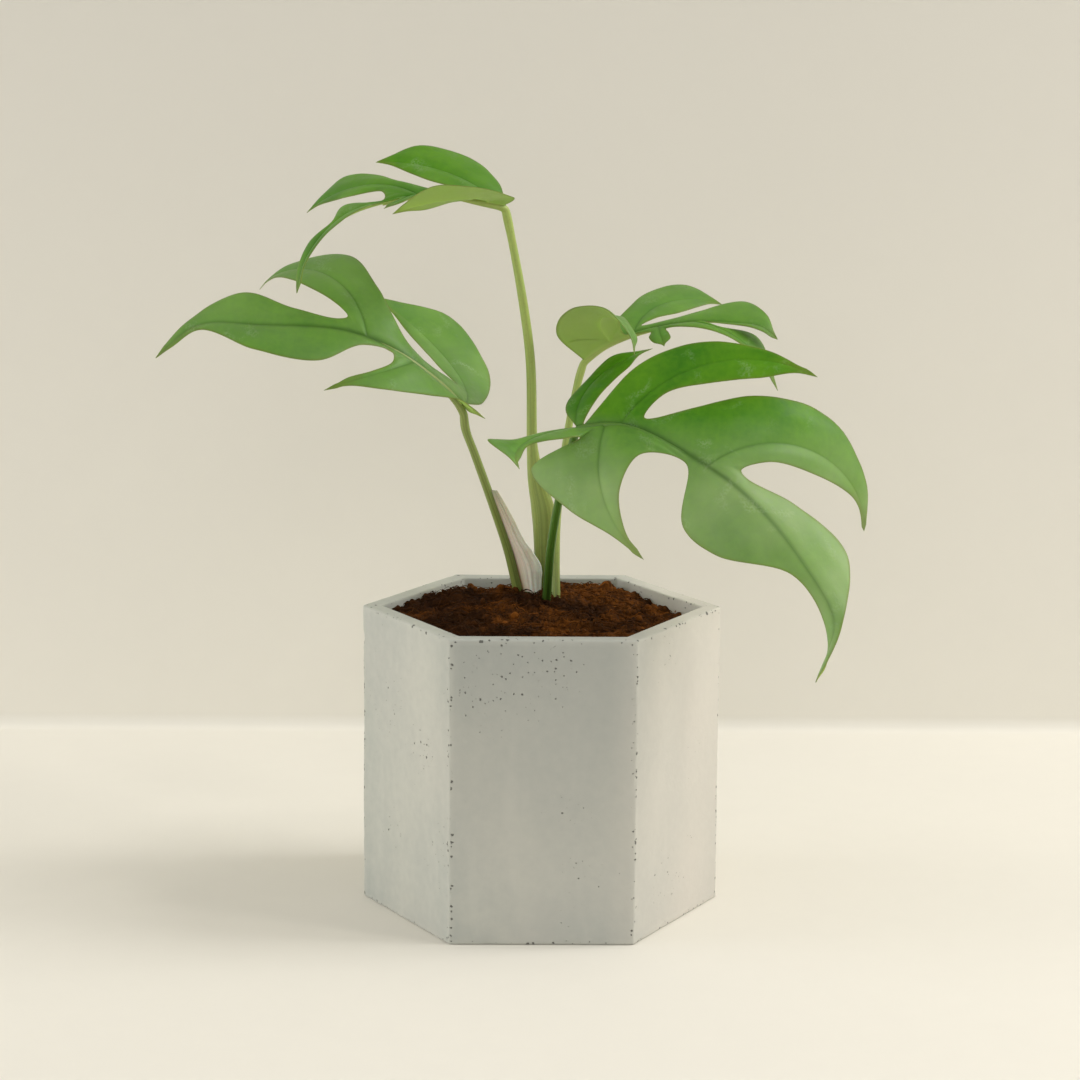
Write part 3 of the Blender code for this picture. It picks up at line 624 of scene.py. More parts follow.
def crumbs(x, y, cell, tall, seed):
    """Height of loose crumbs: one dome in each cell of a jittered grid, and the highest over each point."""
    table = np.random.default_rng(seed).random((LATTICE, LATTICE, 4))
    cell_x, cell_y = np.floor(x / cell).astype(int), np.floor(y / cell).astype(int)
    height = np.zeros_like(x)
    for step in np.ndindex(3, 3):
        near_x, near_y = cell_x + step[0] - 1, cell_y + step[1] - 1
        jitter = table[near_x % LATTICE, near_y % LATTICE]
        radius = cell * (0.3 + 0.45 * jitter[..., 2])
        off_x = x - (near_x + jitter[..., 0]) * cell
        off_y = y - (near_y + jitter[..., 1]) * cell
        dome = np.sqrt(np.maximum(1 - (off_x ** 2 + off_y ** 2) / radius ** 2, 0))
        height = np.maximum(height, dome * radius * tall * (0.4 + 0.6 * jitter[..., 3]))
    return height


def hexagon_ring(flat_distance, rounding):
    """Rows of the pot: hexagons with round corners, given their sides' distances and corner rounding.

    The columns run round the six corners. Each corner is an arc whose middle lies on the corner's ray, and
    each side joins the ends of two arcs in steps that are a little longer near its ends. Gives the points,
    their outward directions and how much of a corner each one is.
    """
    ray = np.arange(PERIMETER_CORNERS) * np.pi / 3
    middle = ((flat_distance - rounding) / FLAT)[..., None, None] * around(ray)
    direction = around(ray[:, None] + np.linspace(-np.pi / 6, np.pi / 6, CORNER_STEPS))
    arcs = middle[..., :, None, :] + rounding[..., None, None, None] * direction
    following = np.roll(arcs, -1, axis=-3)
    share = np.linspace(0, 1, SIDE_STEPS + 1)[1:-1][:, None]
    share = share + 0.12 * np.sin(2 * np.pi * share) / (2 * np.pi)
    sides = arcs[..., -1:, :] * (1 - share) + following[..., :1, :] * share
    facing = np.broadcast_to(around(ray + np.pi / 6)[:, None, :], (PERIMETER_CORNERS, SIDE_STEPS - 1, 2))
    ring = np.concatenate([arcs, sides], axis=-2)
    way = np.concatenate([direction, facing], axis=-2)
    corner = np.tile(np.repeat([1.0, 0.0], [CORNER_STEPS, SIDE_STEPS - 1]), PERIMETER_CORNERS)
    return ring.reshape(*flat_distance.shape, -1, 2), way.reshape(-1, 2), corner


def quarter_turn(centre_off, centre_up, radius, start, steps):
    """Points of a quarter circle in the plane of a wall's section, from the start angle on."""
    return (centre_off, centre_up) + radius * around(np.radians(start) + np.linspace(0, np.pi / 2, steps))


def pot_profile():
    """Section of the pot's wall, from the middle of its underside, up the outside, over the rim and inside.

    Its columns are the distance of the sides from the pot's middle and the height. With it goes how far each
    point counts as an outer edge.
    """
    outer, inner = POT_CORNER_RADIUS * FLAT, POCKET_CORNER_RADIUS * FLAT
    lip_height = POT_HEIGHT - RIM_ROUND

    def level(distances, height):
        return np.stack([distances, np.full(len(distances), height)], -1)

    def upright(distance, start, end, steps):
        return np.stack([np.full(steps, distance), np.linspace(start, end, steps + 2)[1:-1]], -1)

    parts = (
        (0, level(np.array([0, 0.35, 0.75, 0.95]) * (outer - BASE_ROUND), 0.0)),
        (1, quarter_turn(outer - BASE_ROUND, BASE_ROUND, BASE_ROUND, -90, 6)),
        (0, upright(outer, BASE_ROUND, lip_height, WALL_ROWS)),
        (1, quarter_turn(outer - RIM_ROUND, lip_height, RIM_ROUND, 0, 7)),
        (0.25, level(np.linspace(outer - RIM_ROUND, inner + RIM_ROUND, 10)[1:-1], POT_HEIGHT)),
        (0.8, quarter_turn(inner + RIM_ROUND, lip_height, RIM_ROUND, 90, 7)),
        (0, upright(inner, lip_height, POT_FLOOR, 14)),
        (0, level(np.array([1, 0.5, 0]) * inner, POT_FLOOR)),
    )
    edges = np.concatenate([np.full(len(part), edge) for edge, part in parts])
    return np.vstack([part for _, part in parts]), edges


def pot_points():
    """The pot: its section carried round a hexagon, with the slight waves and dents of a hand casting.

    A point moves out along its side's direction by slow noise, and along the rim's and the base's edges it
    moves in where a finer noise is low, which leaves small chips.
    """
    section, edge = pot_profile()
    ring, way, corner = hexagon_ring(section[:, 0], np.minimum(CORNER_ROUND, section[:, 0] * 0.2))
    height = np.broadcast_to(section[:, 1:2], ring.shape[:2])
    points = np.concatenate([ring, height[..., None]], axis=-1)
    x, y, z = np.moveaxis(points, -1, 0)
    slow = octaves(x, y, z, *SLOW_WAVE)
    grain = octaves(x, y, z, *GRAIN_WAVE)
    chips = sum(share * np.maximum(-lattice_noise(x, y, z, cell, seed) - depth, 0)
                for cell, seed, depth, share in CHIPS)
    edges = np.maximum(edge[:, None], corner)
    centre = np.minimum(section[:, 0] / (POT_CORNER_RADIUS * 0.4), 1)[:, None]
    push = (SLOW_PUSH * slow + GRAIN_PUSH * grain * edges - CHIP_PUSH * chips * edges) * centre
    points[..., :2] += push[..., None] * way
    top_edge = np.where(height > POT_HEIGHT - TOP_DEPTH, edge[:, None], 0)
    points[..., 2] += (TOP_WAVE * slow - TOP_CHIP * chips) * top_edge
    return points, edges


def color_field(name, description, *default):
    return FloatVectorProperty(name=name, description=description, subtype="COLOR", size=3, min=0, max=1,
                               default=default)


def share_field(name, description, default):
    return FloatProperty(name=name, description=description, subtype="FACTOR", min=0, max=1, default=default)


def power_field(name, description, default):
    return FloatProperty(name=name, description=description, unit="POWER", min=0, max=400, default=default)


def length_field(name, description, least, default):
    return FloatProperty(name=name, description=description, unit="LENGTH", min=least, max=0.02,
                         default=default)


class PotLooks(bpy.types.PropertyGroup):
    """Colours and marks of the concrete."""

    concrete: color_field("Concrete", "Colour of the dry casting", 0.51, 0.52, 0.465)
    # Warmer, paler concrete, in slow random patches and as painted light on the pot's right side.
    warm_tone_and_painted_light: color_field("Warm stone", "Warmer colour of the concrete on one side", 0.67, 0.625, 0.56)
    # Made darker, this colour is also the painted shade at the top of the front and back faces.
    damp: color_field("Damp concrete", "Colour of the darker blotches", 0.37, 0.395, 0.375)
    pit_cell: length_field("Pit spacing", "Distance between neighbouring air pits", 0.001, 0.0022)
    roughness: share_field("Roughness", "How matt the concrete is", 0.82)


class SoilLooks(bpy.types.PropertyGroup):
    """Colours and amounts of the coir."""

    dark: color_field("Dark coir", "Colour of the damp crumbs", 0.015, 0.0042, 0.0003)
    light: color_field("Light coir", "Colour of the dry fibres", 0.165, 0.052, 0.006)
    crumbs: IntProperty(name="Loose crumbs", description="Number of loose crumbs on the coir", min=0, max=900,
                        default=420)
    fibres: IntProperty(name="Fibres", description="Number of loose fibres on the coir", min=0, max=3000,
                        default=1300)


class LeafLooks(bpy.types.PropertyGroup):
    """Colours and finish of the blades."""

    deep: color_field("Deep green", "Colour of the darker parts of the blades", 0.032, 0.145, 0.0)
    fresh: color_field("Fresh green", "Colour of the lighter parts of the blades", 0.092, 0.245, 0.003)
    # Painted sheen: colour and share of a pale haze painted on the blades in place of their reflection of the
    # bright room.
    painted_sheen: color_field("Bloom", "Colour of the dull film on the hanging blade", 0.330, 0.430, 0.200)
    painted_sheen_share: share_field("Bloom share", "How much the dull film covers", 0.68)
    underside: color_field("Underside", "Colour below the blades", 0.31, 0.43, 0.11)
    margin: color_field("Margin", "Colour of the blades' dry edges", 0.13, 0.11, 0.03)
    roughness: share_field("Roughness", "How matt the blades are", 0.42)
    vein_spacing: length_field("Fine vein spacing", "Distance between the fine veins", 0.0005, 0.0035)


class StalkLooks(bpy.types.PropertyGroup):
    """Colours of the stalks and the papery sheath."""

    pale: color_field("Pale stalk", "Colour of the older stalks", 0.33, 0.42, 0.10)
    dark: color_field("Dark stalk", "Colour of the young stalk in front", 0.055, 0.13, 0.012)
    papery: color_field("Papery sheath", "Colour of the dry sheath", 0.78, 0.77, 0.66)
    stain: color_field("Sheath stain", "Colour of the sheath's foot beside the stalk", 0.60, 0.38, 0.18)


class StageLooks(bpy.types.PropertyGroup):
    """Floor and studio light."""

    floor: color_field("Floor", "Colour of the floor and the wall", 0.78, 0.755, 0.685)
    key: power_field("Key light", "Power of the small light from the right", 2.3)
    right: power_field("Right window", "Power of the large light on the right", 18.0)
    front: power_field("Front window", "Power of the large light behind the camera", 2.5)
    left: power_field("Left window", "Power of the large light on the left", 2.7)
    back: power_field("Back window", "Power of the low light on the far left", 8.0)
    sky: FloatProperty(name="Room light", description="Strength of the even light of the room", min=0, max=4,
                       default=0.45)


def fill(tree, node, inputs):
    """Fill or link a node's inputs by name or number."""
    for name, value in dict(inputs).items():
        if isinstance(value, bpy.types.NodeSocket):
            tree.links.new(value, node.inputs[name])
        else:
            node.inputs[name].default_value = value
    return node


def add(tree, kind, inputs=(), **options):
    """Add a shader node with its options and its inputs."""
    made = tree.nodes.new("ShaderNode" + kind)
    for name, value in options.items():
        setattr(made, name, value)
    return fill(tree, made, inputs)


def mixed(tree, factor, a, b):
    """Mix two colours by a factor."""
    return add(tree, "Mix", {0: factor, 6: a, 7: b}, data_type="RGBA").outputs[2]


def ranged(tree, value, low, high, to_low=0.0, to_high=1.0):
    """Stretch a value from one range to another and hold it at the ends."""
    return add(tree, "MapRange", {"Value": value, "From Min": low, "From Max": high,
                                  "To Min": to_low, "To Max": to_high}).outputs["Result"]


def worked(operation):
    """Give a function that does one sum on two values."""
    def sum_of(tree, a, b):
        return add(tree, "Math", {0: a, 1: b}, operation=operation).outputs[0]
    return sum_of


times, plus, less, most, raised_to = (
    worked(operation) for operation in ("MULTIPLY", "ADD", "SUBTRACT", "MAXIMUM", "POWER"))


def noise(tree, vector, scale, detail=3.0, distortion=0.0):
    """Noise of a colour-free kind, from about 0.3 to 0.7."""
    return add(tree, "TexNoise", {"Vector": vector, "Scale": scale, "Detail": detail,
                                  "Distortion": distortion}).outputs["Fac"]


def object_place(tree):
    return add(tree, "TexCoord").outputs["Object"]


def coordinate(tree, where, name):
    return add(tree, "SeparateXYZ", {0: where}).outputs[name]


def mapped(tree, vector, **settings):
    """Move, turn or stretch the place that a pattern is read at."""
    inputs = {name.title(): value for name, value in settings.items()}
    return add(tree, "Mapping", {0: vector, **inputs}).outputs[0]


def grain_map(tree):
    return add(tree, "UVMap", uv_map="Grain").outputs[0]


def mark(tree, name):
    return add(tree, "Attribute", attribute_name=name).outputs["Fac"]


def tint(color, share=1.0):
    """A colour with its alpha, darker or lighter by a share."""
    return (*(share * value for value in color), 1)


def mottle_group():
    """Blend two colours by two sizes of noise, and give the colour, the blend and a fine height."""
    if "Mottle" in bpy.data.node_groups:
        return bpy.data.node_groups["Mottle"]
    group = bpy.data.node_groups.new("Mottle", "ShaderNodeTree")
    for label, value in (("Ground", (0.5, 0.5, 0.5, 1)), ("Marks", (0.2, 0.2, 0.2, 1)), ("Large Scale", 30.0),
                         ("Fine Scale", 300.0), ("Low", 0.4), ("High", 0.6), ("Fine Share", 0.3)):
        kind = "NodeSocketFloat" if isinstance(value, float) else "NodeSocketColor"
        group.interface.new_socket(label, in_out="INPUT", socket_type=kind).default_value = value
    for label, kind in (("Color", "Color"), ("Mask", "Float"), ("Height", "Float")):
        group.interface.new_socket(label, in_out="OUTPUT", socket_type="NodeSocket" + kind)
    given = group.nodes.new("NodeGroupInput").outputs
    where = object_place(group)
    large = noise(group, where, given["Large Scale"], 4.0, 0.4)
    fine = noise(group, where, given["Fine Scale"], 5.0)
    both = add(group, "Mix", {0: given["Fine Share"], 2: large, 3: fine}, data_type="FLOAT").outputs[0]
    mask = ranged(group, both, given["Low"], given["High"])
    fill(group, group.nodes.new("NodeGroupOutput"), {
        "Color": mixed(group, mask, given["Ground"], given["Marks"]), "Mask": mask, "Height": fine})
    return group


def mottle(tree, ground, marks, large, fine, low=0.4, high=0.6, share=0.3):
    """Place the mottle group with its own colours and sizes."""
    inputs = {"Ground": ground, "Marks": marks, "Large Scale": large, "Fine Scale": fine, "Low": low,
              "High": high, "Fine Share": share}
    return add(tree, "Group", inputs, node_tree=mottle_group()).outputs


def new_material(name, shine=0.5):
    """Start a material and give its tree and its shader."""
    material = bpy.data.materials.new(name)
    material.use_nodes = True
    tree = material.node_tree
    shader = tree.nodes["Principled BSDF"]
    shader.inputs["Specular IOR Level"].default_value = shine
    return material, tree, shader


def finished(tree, shader, color, roughness, relief, strength, distance, soft=None):
    """Give the shader its colour, its roughness and a relief in shares of a distance in millimetres.

    Soft is how much light goes through the surface, and how far in metres.
    """
    bump = add(tree, "Bump", {"Height": relief, "Strength": strength, "Distance": distance * MM})
    inputs = {"Base Color": color, "Roughness": roughness, "Normal": bump.outputs["Normal"]}
    if soft:
        inputs.update(zip(("Subsurface Weight", "Subsurface Scale"), soft))
    fill(tree, shader, inputs)


def worn(tree, place, reach):
    """A place pushed about a little by fine noise, so that round cells turn out uneven."""
    push = add(tree, "TexNoise", {"Vector": place, "Scale": 1400.0, "Detail": 1.0}).outputs["Color"]
    push = add(tree, "VectorMath", {0: push, 1: (0.5, 0.5, 0.5)}, operation="SUBTRACT").outputs[0]
    push = add(tree, "VectorMath", {0: push, 1: (2 * reach,) * 3}, operation="MULTIPLY").outputs[0]
    return add(tree, "VectorMath", {0: place, 1: push}).outputs[0]


def pit_clusters(tree, where, edge):
    """How many air pits there are: more in the named clusters and along edges, a few everywhere."""
    clusters = times(tree, ranged(tree, noise(tree, where, 34.0), 0.54, 0.66), 0.45)
    for centre, reach in PIT_CLUSTERS:
        point = [value * MM for value in centre]
        away = add(tree, "VectorMath", {0: where, 1: point}, operation="DISTANCE").outputs["Value"]
        clusters = most(tree, clusters, ranged(tree, away, 1.35 * reach * MM, 0.0, 0.0, 0.72))
    return plus(tree, times(tree, most(tree, clusters, edge), 0.92), 0.08)


def air_pits(tree, where, clusters, spacing):
    """Round holes in two sizes of cell: each cell's own colour sets how wide its hole is."""
    holes = []
    for cell, spread, widest in ((spacing, 1.5, 0.38), (0.6 * spacing, 2.0, 0.42)):
        cells = add(tree, "TexVoronoi", {"Vector": worn(tree, where, 0.0004), "Scale": 1 / cell,
                                         "Randomness": 1.0}).outputs
        size = raised_to(tree, add(tree, "SeparateColor", {0: cells["Color"]}).outputs[0], spread)
        radius = times(tree, times(tree, size, clusters), widest)
        holes.append(ranged(tree, less(tree, cells["Distance"], radius), 0.0, -0.09))
    return most(tree, *holes)


def concrete_material(looks):
    """Cast concrete: slow and fine blotches, air pits in clusters and along edges, and a damp foot."""
    material, tree, shader = new_material("Cast concrete", 0.35)
    where = object_place(tree)
    edge = mark(tree, "edge")
    height, right = coordinate(tree, where, "Z"), coordinate(tree, where, "X")
    ground = mottle(tree, tint(looks.concrete), tint(looks.damp), 15.0, 320.0, 0.30, 0.80, 0.28)
    damp = ranged(tree, noise(tree, where, 60.0, 4.0), 0.38, 0.62)
    foot = times(tree, ranged(tree, height, 0.034, 0.0), damp)
    color = mixed(tree, times(tree, foot, 0.55), ground["Color"], tint(looks.damp))
    streaks = noise(tree, mapped(tree, where, scale=(1, 1, 0.18)), 160.0)
    color = mixed(tree, ranged(tree, streaks, 0.55, 0.80, 0.0, 0.16), color, LIME_STREAK)
    slow = noise(tree, mapped(tree, where, location=(0.3, 0.1, 0.2)), 12.0, 2.0)
    # Painted light: the right side of the pot turns warmer and paler, and slow random patches are warmer too.
    warm_tone_and_painted_light = plus(tree, ranged(tree, slow, 0.42, 0.66, 0.0, 0.25), ranged(tree, right, 0.020, 0.050, 0.0, 0.6))
    color = mixed(tree, warm_tone_and_painted_light, color, tint(looks.warm_tone_and_painted_light))
    # Painted shade: the front and back faces darken towards their top, where the leaves shade them, in the
    # damp concrete colour made darker.
    face = times(tree, ranged(tree, right, 0.038, 0.022), ranged(tree, right, -0.038, -0.026))
    shade = times(tree, ranged(tree, height, 0.020, 0.095), face)
    color = mixed(tree, times(tree, shade, 0.55), color, tint(looks.damp, 0.78))
    color = mixed(tree, times(tree, edge, 0.15), color, WORN_EDGE)
    pits = air_pits(tree, where, pit_clusters(tree, where, edge), looks.pit_cell)
    # Painted shade: the air pits are dents of the bump only, so the shade inside them is painted dark.
    color = mixed(tree, times(tree, pits, 0.85), color, PAINTED_PIT_SHADE)
    matt = ranged(tree, ground["Height"], 0.3, 0.7, looks.roughness - 0.12, looks.roughness + 0.1)
    grain = times(tree, noise(tree, where, 900.0), 0.10)
    relief = plus(tree, less(tree, grain, pits), times(tree, ground["Height"], 0.25))
    finished(tree, shader, color, matt, relief, 0.9, 0.5)
    return material


class MONSTERA_OT_pot(bpy.types.Operator):
    """Cast the six-sided concrete pot"""

    bl_idname = "monstera.pot"
    bl_label = "Concrete pot"

    def execute(self, context):
        points, edges = pot_points()
        material = concrete_material(context.scene.monstera_pot)
        pot = closed_grid("concrete_pot", points, material, {"edge": edges})
        place_piece(pot, "pot")
        return {"FINISHED"}


def hexagon_rim(share, corner_radius):
    """Points of a plain hexagon at shares of its way round: straight lines between its corners."""
    corner = np.floor(share * PERIMETER_CORNERS)
    part = (share * PERIMETER_CORNERS - corner)[..., None]
    return corner_radius * ((1 - part) * around(corner * np.pi / 3) + part * around((corner + 1) * np.pi / 3))


def bed_height(x, y):
    """Height of the coir's bed: a level, a few heaps and hollows, and clods from crossed waves."""
    height = SOIL_LEVEL + 0 * x
    for heap in SOIL_HEAPS:
        distance = ((x - heap.x) ** 2 + (y - heap.y) ** 2) / (2 * heap.spread ** 2)
        height = height + heap.height * np.exp(-distance)
    clods = np.sin(0.55 * x + 0.8) * np.sin(0.47 * y + 1.9) + 0.7 * np.sin(0.31 * x - 0.62 * y + 0.4)
    return height + CLOD_HEIGHT * clods


def soil_height(x, y):
    """Height of the coir with its crumbs: the bed, slow noise, and domes of four sizes on each other."""
    height = bed_height(x, y) + LOOSE_HEIGHT * octaves(x, y, 0 * x, *LOOSE_WAVE) - LOOSE_SINK
    for i, (cell, tall) in enumerate(CRUMB_SIZES):
        height = height + crumbs(x + 0.37 * cell * i, y, cell, tall, CRUMB_SEED + i)
    return height


def soil_points():
    """The coir: rings that grow from its middle to the pocket's walls, then down the walls and in below."""
    rim = hexagon_rim(np.arange(SOIL_SECTORS) / SOIL_SECTORS, POCKET_CORNER_RADIUS - SOIL_GAP / FLAT)
    x, y = np.moveaxis(np.linspace(0, 1, SOIL_RINGS)[:, None, None] * rim, -1, 0)
    top = np.stack([x, y, soil_height(x, y)], -1)
    floor = POT_FLOOR + SOIL_GAP
    wall_height = np.array([0.66, 0.33, 0])[:, None] * (top[-1, :, 2] - floor) + floor
    walls = spread_over(wall_height.shape, x[-1], y[-1], wall_height)
    below = np.zeros((1, SOIL_SECTORS, 3)) + (0, 0, floor)
    top[0] = top[0].mean(axis=0)
    return np.concatenate([top, walls, below])


def scattered(count, seed):
    """Random places on the coir, inside the pocket's walls."""
    rng = np.random.default_rng(seed)
    share = np.sqrt(rng.uniform(0, 0.97, count))[:, None]
    return share * hexagon_rim(rng.random(count), POCKET_CORNER_RADIUS - WALL_CLEARANCE), rng


def tiled(points, faces):
    """Number the faces of many equal shapes, stored one after another."""
    step = points.shape[1]
    return (faces[None] + np.arange(len(points))[:, None, None] * step).reshape(-1, faces.shape[1])


def crumb_lumps(count):
    """Loose crumbs: small balls of rings, each stretched, turned and dented by its own noise."""
    centre, rng = scattered(count, BALL_SEED)
    rise = np.linspace(0, np.pi, BALL_ROWS)[:, None]
    turn = np.arange(BALL_SIDES) * 2 * np.pi / BALL_SIDES
    ball = np.stack([np.sin(rise) * np.cos(turn), np.sin(rise) * np.sin(turn), np.cos(rise) + 0 * turn], -1)
    ball = ball.reshape(-1, 3)
    size = (0.35 + 1.0 * rng.random(count) ** 2.2)[:, None, None]
    stretch = rng.uniform(0.45, 1.4, (count, 1, 3))
    x, y, z = 1.3 * ball.T
    dents = 1 + DENT_DEPTH * lattice_noise(x + 7.3 * np.arange(count)[:, None], y, z, 1.0, DENT_SEED)
    spin = rng.uniform(0, 2 * np.pi, count)[:, None]
    x, y, z = np.moveaxis(ball * stretch * size * dents[..., None], -1, 0)
    points = np.stack([x * np.cos(spin) - y * np.sin(spin) + centre[:, :1],
                       x * np.sin(spin) + y * np.cos(spin) + centre[:, 1:],
                       z + (soil_height(*centre.T)[:, None] + size[..., 0] * 0.25)], -1)
    tone = np.broadcast_to(rng.random(count)[:, None], x.shape)
    return points, tiled(points, grid_faces(BALL_ROWS, BALL_SIDES, True)), tone


def fibre_strands(count):
    """Loose fibres: thin tubes along arcs that lie on the coir, lifted a little at their middle."""
    centre, rng = scattered(count, FIBRE_SEED)
    length = (2.5 + 9.0 * rng.random(count) ** 1.8)[:, None]
    share = np.linspace(-0.5, 0.5, FIBRE_ROWS)[None]
    heading = rng.uniform(0, 2 * np.pi, count)[:, None] + share * rng.normal(0, 1.0, count)[:, None]
    way = around(heading)
    middle = way[:, FIBRE_ROWS // 2 - 1] * length / 2
    x, y = np.moveaxis(centre[:, None] + np.cumsum(way * (length / (FIBRE_ROWS - 1))[..., None], axis=1)
                       - middle[:, None], -1, 0)
    inside = POCKET_CORNER_RADIUS * FLAT - FIBRE_CLEARANCE
    for facing in np.arange(PERIMETER_CORNERS) * np.pi / 3 + np.pi / 6:
        over = np.maximum(x * np.cos(facing) + y * np.sin(facing) - inside, 0)
        x, y = x - over * np.cos(facing), y - over * np.sin(facing)
    lift = rng.uniform(0.0, 1.1, count)[:, None] * (1 - (2 * share) ** 2)
    ground = soil_height(x, y)
    z = 0.5 * ground + 0.5 * ground.mean(axis=1, keepdims=True) + 0.35 + lift
    radius = (rng.uniform(0.07, 0.2, count)[:, None] * FIBRE_TAPER)[..., None]
    turn = np.arange(FIBRE_SIDES) * 2 * np.pi / FIBRE_SIDES
    off = radius * np.cos(turn)
    points = np.stack([x[..., None] - off * way[..., 1:], y[..., None] + off * way[..., :1],
                       z[..., None] + radius * np.sin(turn)], -1).reshape(count, -1, 3)
    start, end = np.arange(FIBRE_SIDES), np.arange(points.shape[1] - FIBRE_SIDES, points.shape[1])
    faces = np.concatenate([grid_faces(FIBRE_ROWS, FIBRE_SIDES, True), [np.roll(start[::-1], 1), end]])
    tone = np.broadcast_to(rng.random(count)[:, None], points.shape[:2])
    return points, tiled(points, faces), tone


def coir_material(looks):
    """Coir: damp dark crumbs and dry reddish ones, with each loose piece in its own tone."""
    material, tree, shader = new_material("Coir", 0.1)
    where = object_place(tree)
    ground = mottle(tree, tint(looks.dark), tint(looks.light), 170.0, 700.0, 0.34, 0.66, 0.5)
    dry = ranged(tree, mark(tree, "tone"), 0.70, 1.0, 0.0, 0.7)
    color = mixed(tree, dry, ground["Color"], tint(looks.light, 1.5))
    right = ranged(tree, coordinate(tree, where, "X"), -0.03, 0.04, -0.07, 0.06)
    patches = plus(tree, noise(tree, where, 48.0), right)
    color = mixed(tree, ranged(tree, patches, 0.54, 0.42, 0.0, 0.78), color, tint(looks.dark))
    matt = ranged(tree, ground["Mask"], 0.0, 1.0, 0.75, 0.95)
    stretched = mapped(tree, where, scale=(1, 0.35, 1), rotation=(0, 0, 0.7))
    relief = plus(tree, ground["Height"], noise(tree, stretched, 1900.0))
    finished(tree, shader, color, matt, relief, 0.9, 0.4)
    return material


class MONSTERA_OT_soil(bpy.types.Operator):
    """Fill the pot with coir, with loose crumbs and fibres on it"""

    bl_idname = "monstera.soil"
    bl_label = "Coir"

    def execute(self, context):
        looks = context.scene.monstera_soil
        material = coir_material(looks)
        bed = closed_grid("coir_bed", soil_points(), material, {"tone": 0.3})
        place_piece(bed, "soil")
        for name, (lumps, quads, tones) in (("coir_crumbs", crumb_lumps(looks.crumbs)),
                                            ("coir_fibres", fibre_strands(looks.fibres))):
            flat = lumps.reshape(-1, 3)
            first, triangles, _ = joined(flat, halved(quads))
            piece = make_object(name, flat[first], turned_out(flat[first], triangles), material,
                                {"tone": tones.ravel()[first]})
            place_piece(piece)
        return {"FINISHED"}


def stalk_route(stalk):
    """Run the stalk from below the soil to its end, with its radius at each point."""
    start, after = np.array(stalk.points[:2], float)
    route = np.vstack([start - unit(after - start) * BURIED, stalk.points])
    path = smooth_path(route, STALK_SPAN_STEPS)
    places = np.linspace(0, len(route) - 1, len(path))
    return path, np.interp(places, np.arange(len(route)), (stalk.radii[0], *stalk.radii))


def smoothed(values, turns):
    """Even out a row of values by averaging each with its neighbours, the given number of times."""
    for _ in range(turns):
        values = np.concatenate([values[:1], (values[:-2] + 2 * values[1:-1] + values[2:]) / 4, values[-1:]])
    return values


def stalk_points(stalk, leaf, wing):
    """A stalk: a circle carried along its path and on under the midrib, where it thins out.

    The circle is a little flat on its upper side, swells below the blade, and on the sheathed stalk grows a
    wing on one side between two heights. Each end falls on one point.
    """
    path, radii = stalk_route(stalk)
    midrib = Midrib(leaf)
    place = np.linspace(0.0, RIB_REACH, RIB_ROWS)[1:]
    path = np.vstack([path, midrib.at(place) - RIB_DEPTH * midrib.frame(place)[2]])
    radii = smoothed(np.concatenate([radii, np.linspace(radii[-1], RIB_RADIUS, len(place))]), 6)
    travel = travelled(path)
    blade_start = travel[-len(place) - 1]
    radii = radii * (1 + SWELL * np.exp(-((travel - blade_start + SWELL_BELOW) / SWELL_LENGTH) ** 2))
    path = np.stack([smoothed(column, 3) for column in path.T], -1)
    tangent = unit(np.gradient(path, axis=0))
    side = unit(np.array([1.0, 0, 0]) - tangent[:, :1] * tangent)
    front = np.cross(tangent, side)
    turn = np.arange(STALK_SIDES) * 2 * np.pi / STALK_SIDES
    shape = 1 - 0.05 * np.maximum(np.cos(turn - np.pi / 2), 0) ** 2
    *heights, reach = wing
    swell = np.interp(path[:, 2], heights, (0.35, 1, 0)) * (path[:, 2] > 60)
    lobed = reach * swell[:, None] * np.maximum(np.cos(turn + 0.25), 0) ** 3
    out = (radii[:, None] * shape + lobed)[..., None]
    x, y = np.moveaxis(out * around(turn), -1, 0)
    ring = path[:, None] + x[..., None] * side[:, None] + y[..., None] * front[:, None]
    ring = np.concatenate([path[:1, None] + 0 * ring[:1], ring, path[-1:, None] + 0 * ring[:1]])
    travel = np.concatenate([travel[:1], travel, travel[-1:]])[:, None]
    sheath = np.concatenate([lobed[:1], lobed, lobed[-1:]])
    grain = spread_over(ring.shape[:2], turn / (2 * np.pi), travel / 100)
    rise = (travel - BURIED) / (travel[-1] - BURIED)
    return ring, {"rise": rise, "wing": np.clip(sheath / max(reach, 0.1), 0, 1)}, grain


def stalk_material(name, low, high, foot):
    """A stalk: one green below and one above, its own tint at the foot, fine streaks and a soft gloss."""
    material, tree, shader = new_material(name)
    rise = mark(tree, "rise")
    color = mixed(tree, ranged(tree, rise, 0.05, 0.75), tint(low), tint(high))
    color = mixed(tree, mark(tree, "shade"), color, tint(low, 0.42))
    color = mixed(tree, ranged(tree, rise, 0.16, 0.0, 0.0, 0.85), color, tint(foot))
    color = mixed(tree, times(tree, mark(tree, "wing"), 0.8), color, WING_GREEN)
    streaks = noise(tree, mapped(tree, grain_map(tree), scale=(26, 2.2, 1)), 1.0)
    color = mixed(tree, ranged(tree, streaks, 0.42, 0.68, 0.0, 0.34), color, tint(high, 1.55))
    flecks = noise(tree, object_place(tree), 1300.0, 2.0)
    color = mixed(tree, ranged(tree, flecks, 0.60, 0.70, 0.0, 0.25), color, tint(low, 0.6))
    matt = ranged(tree, streaks, 0.3, 0.7, 0.36, 0.52)
    finished(tree, shader, color, matt, streaks, 0.5, 0.12, (0.12, 0.002))
    return material


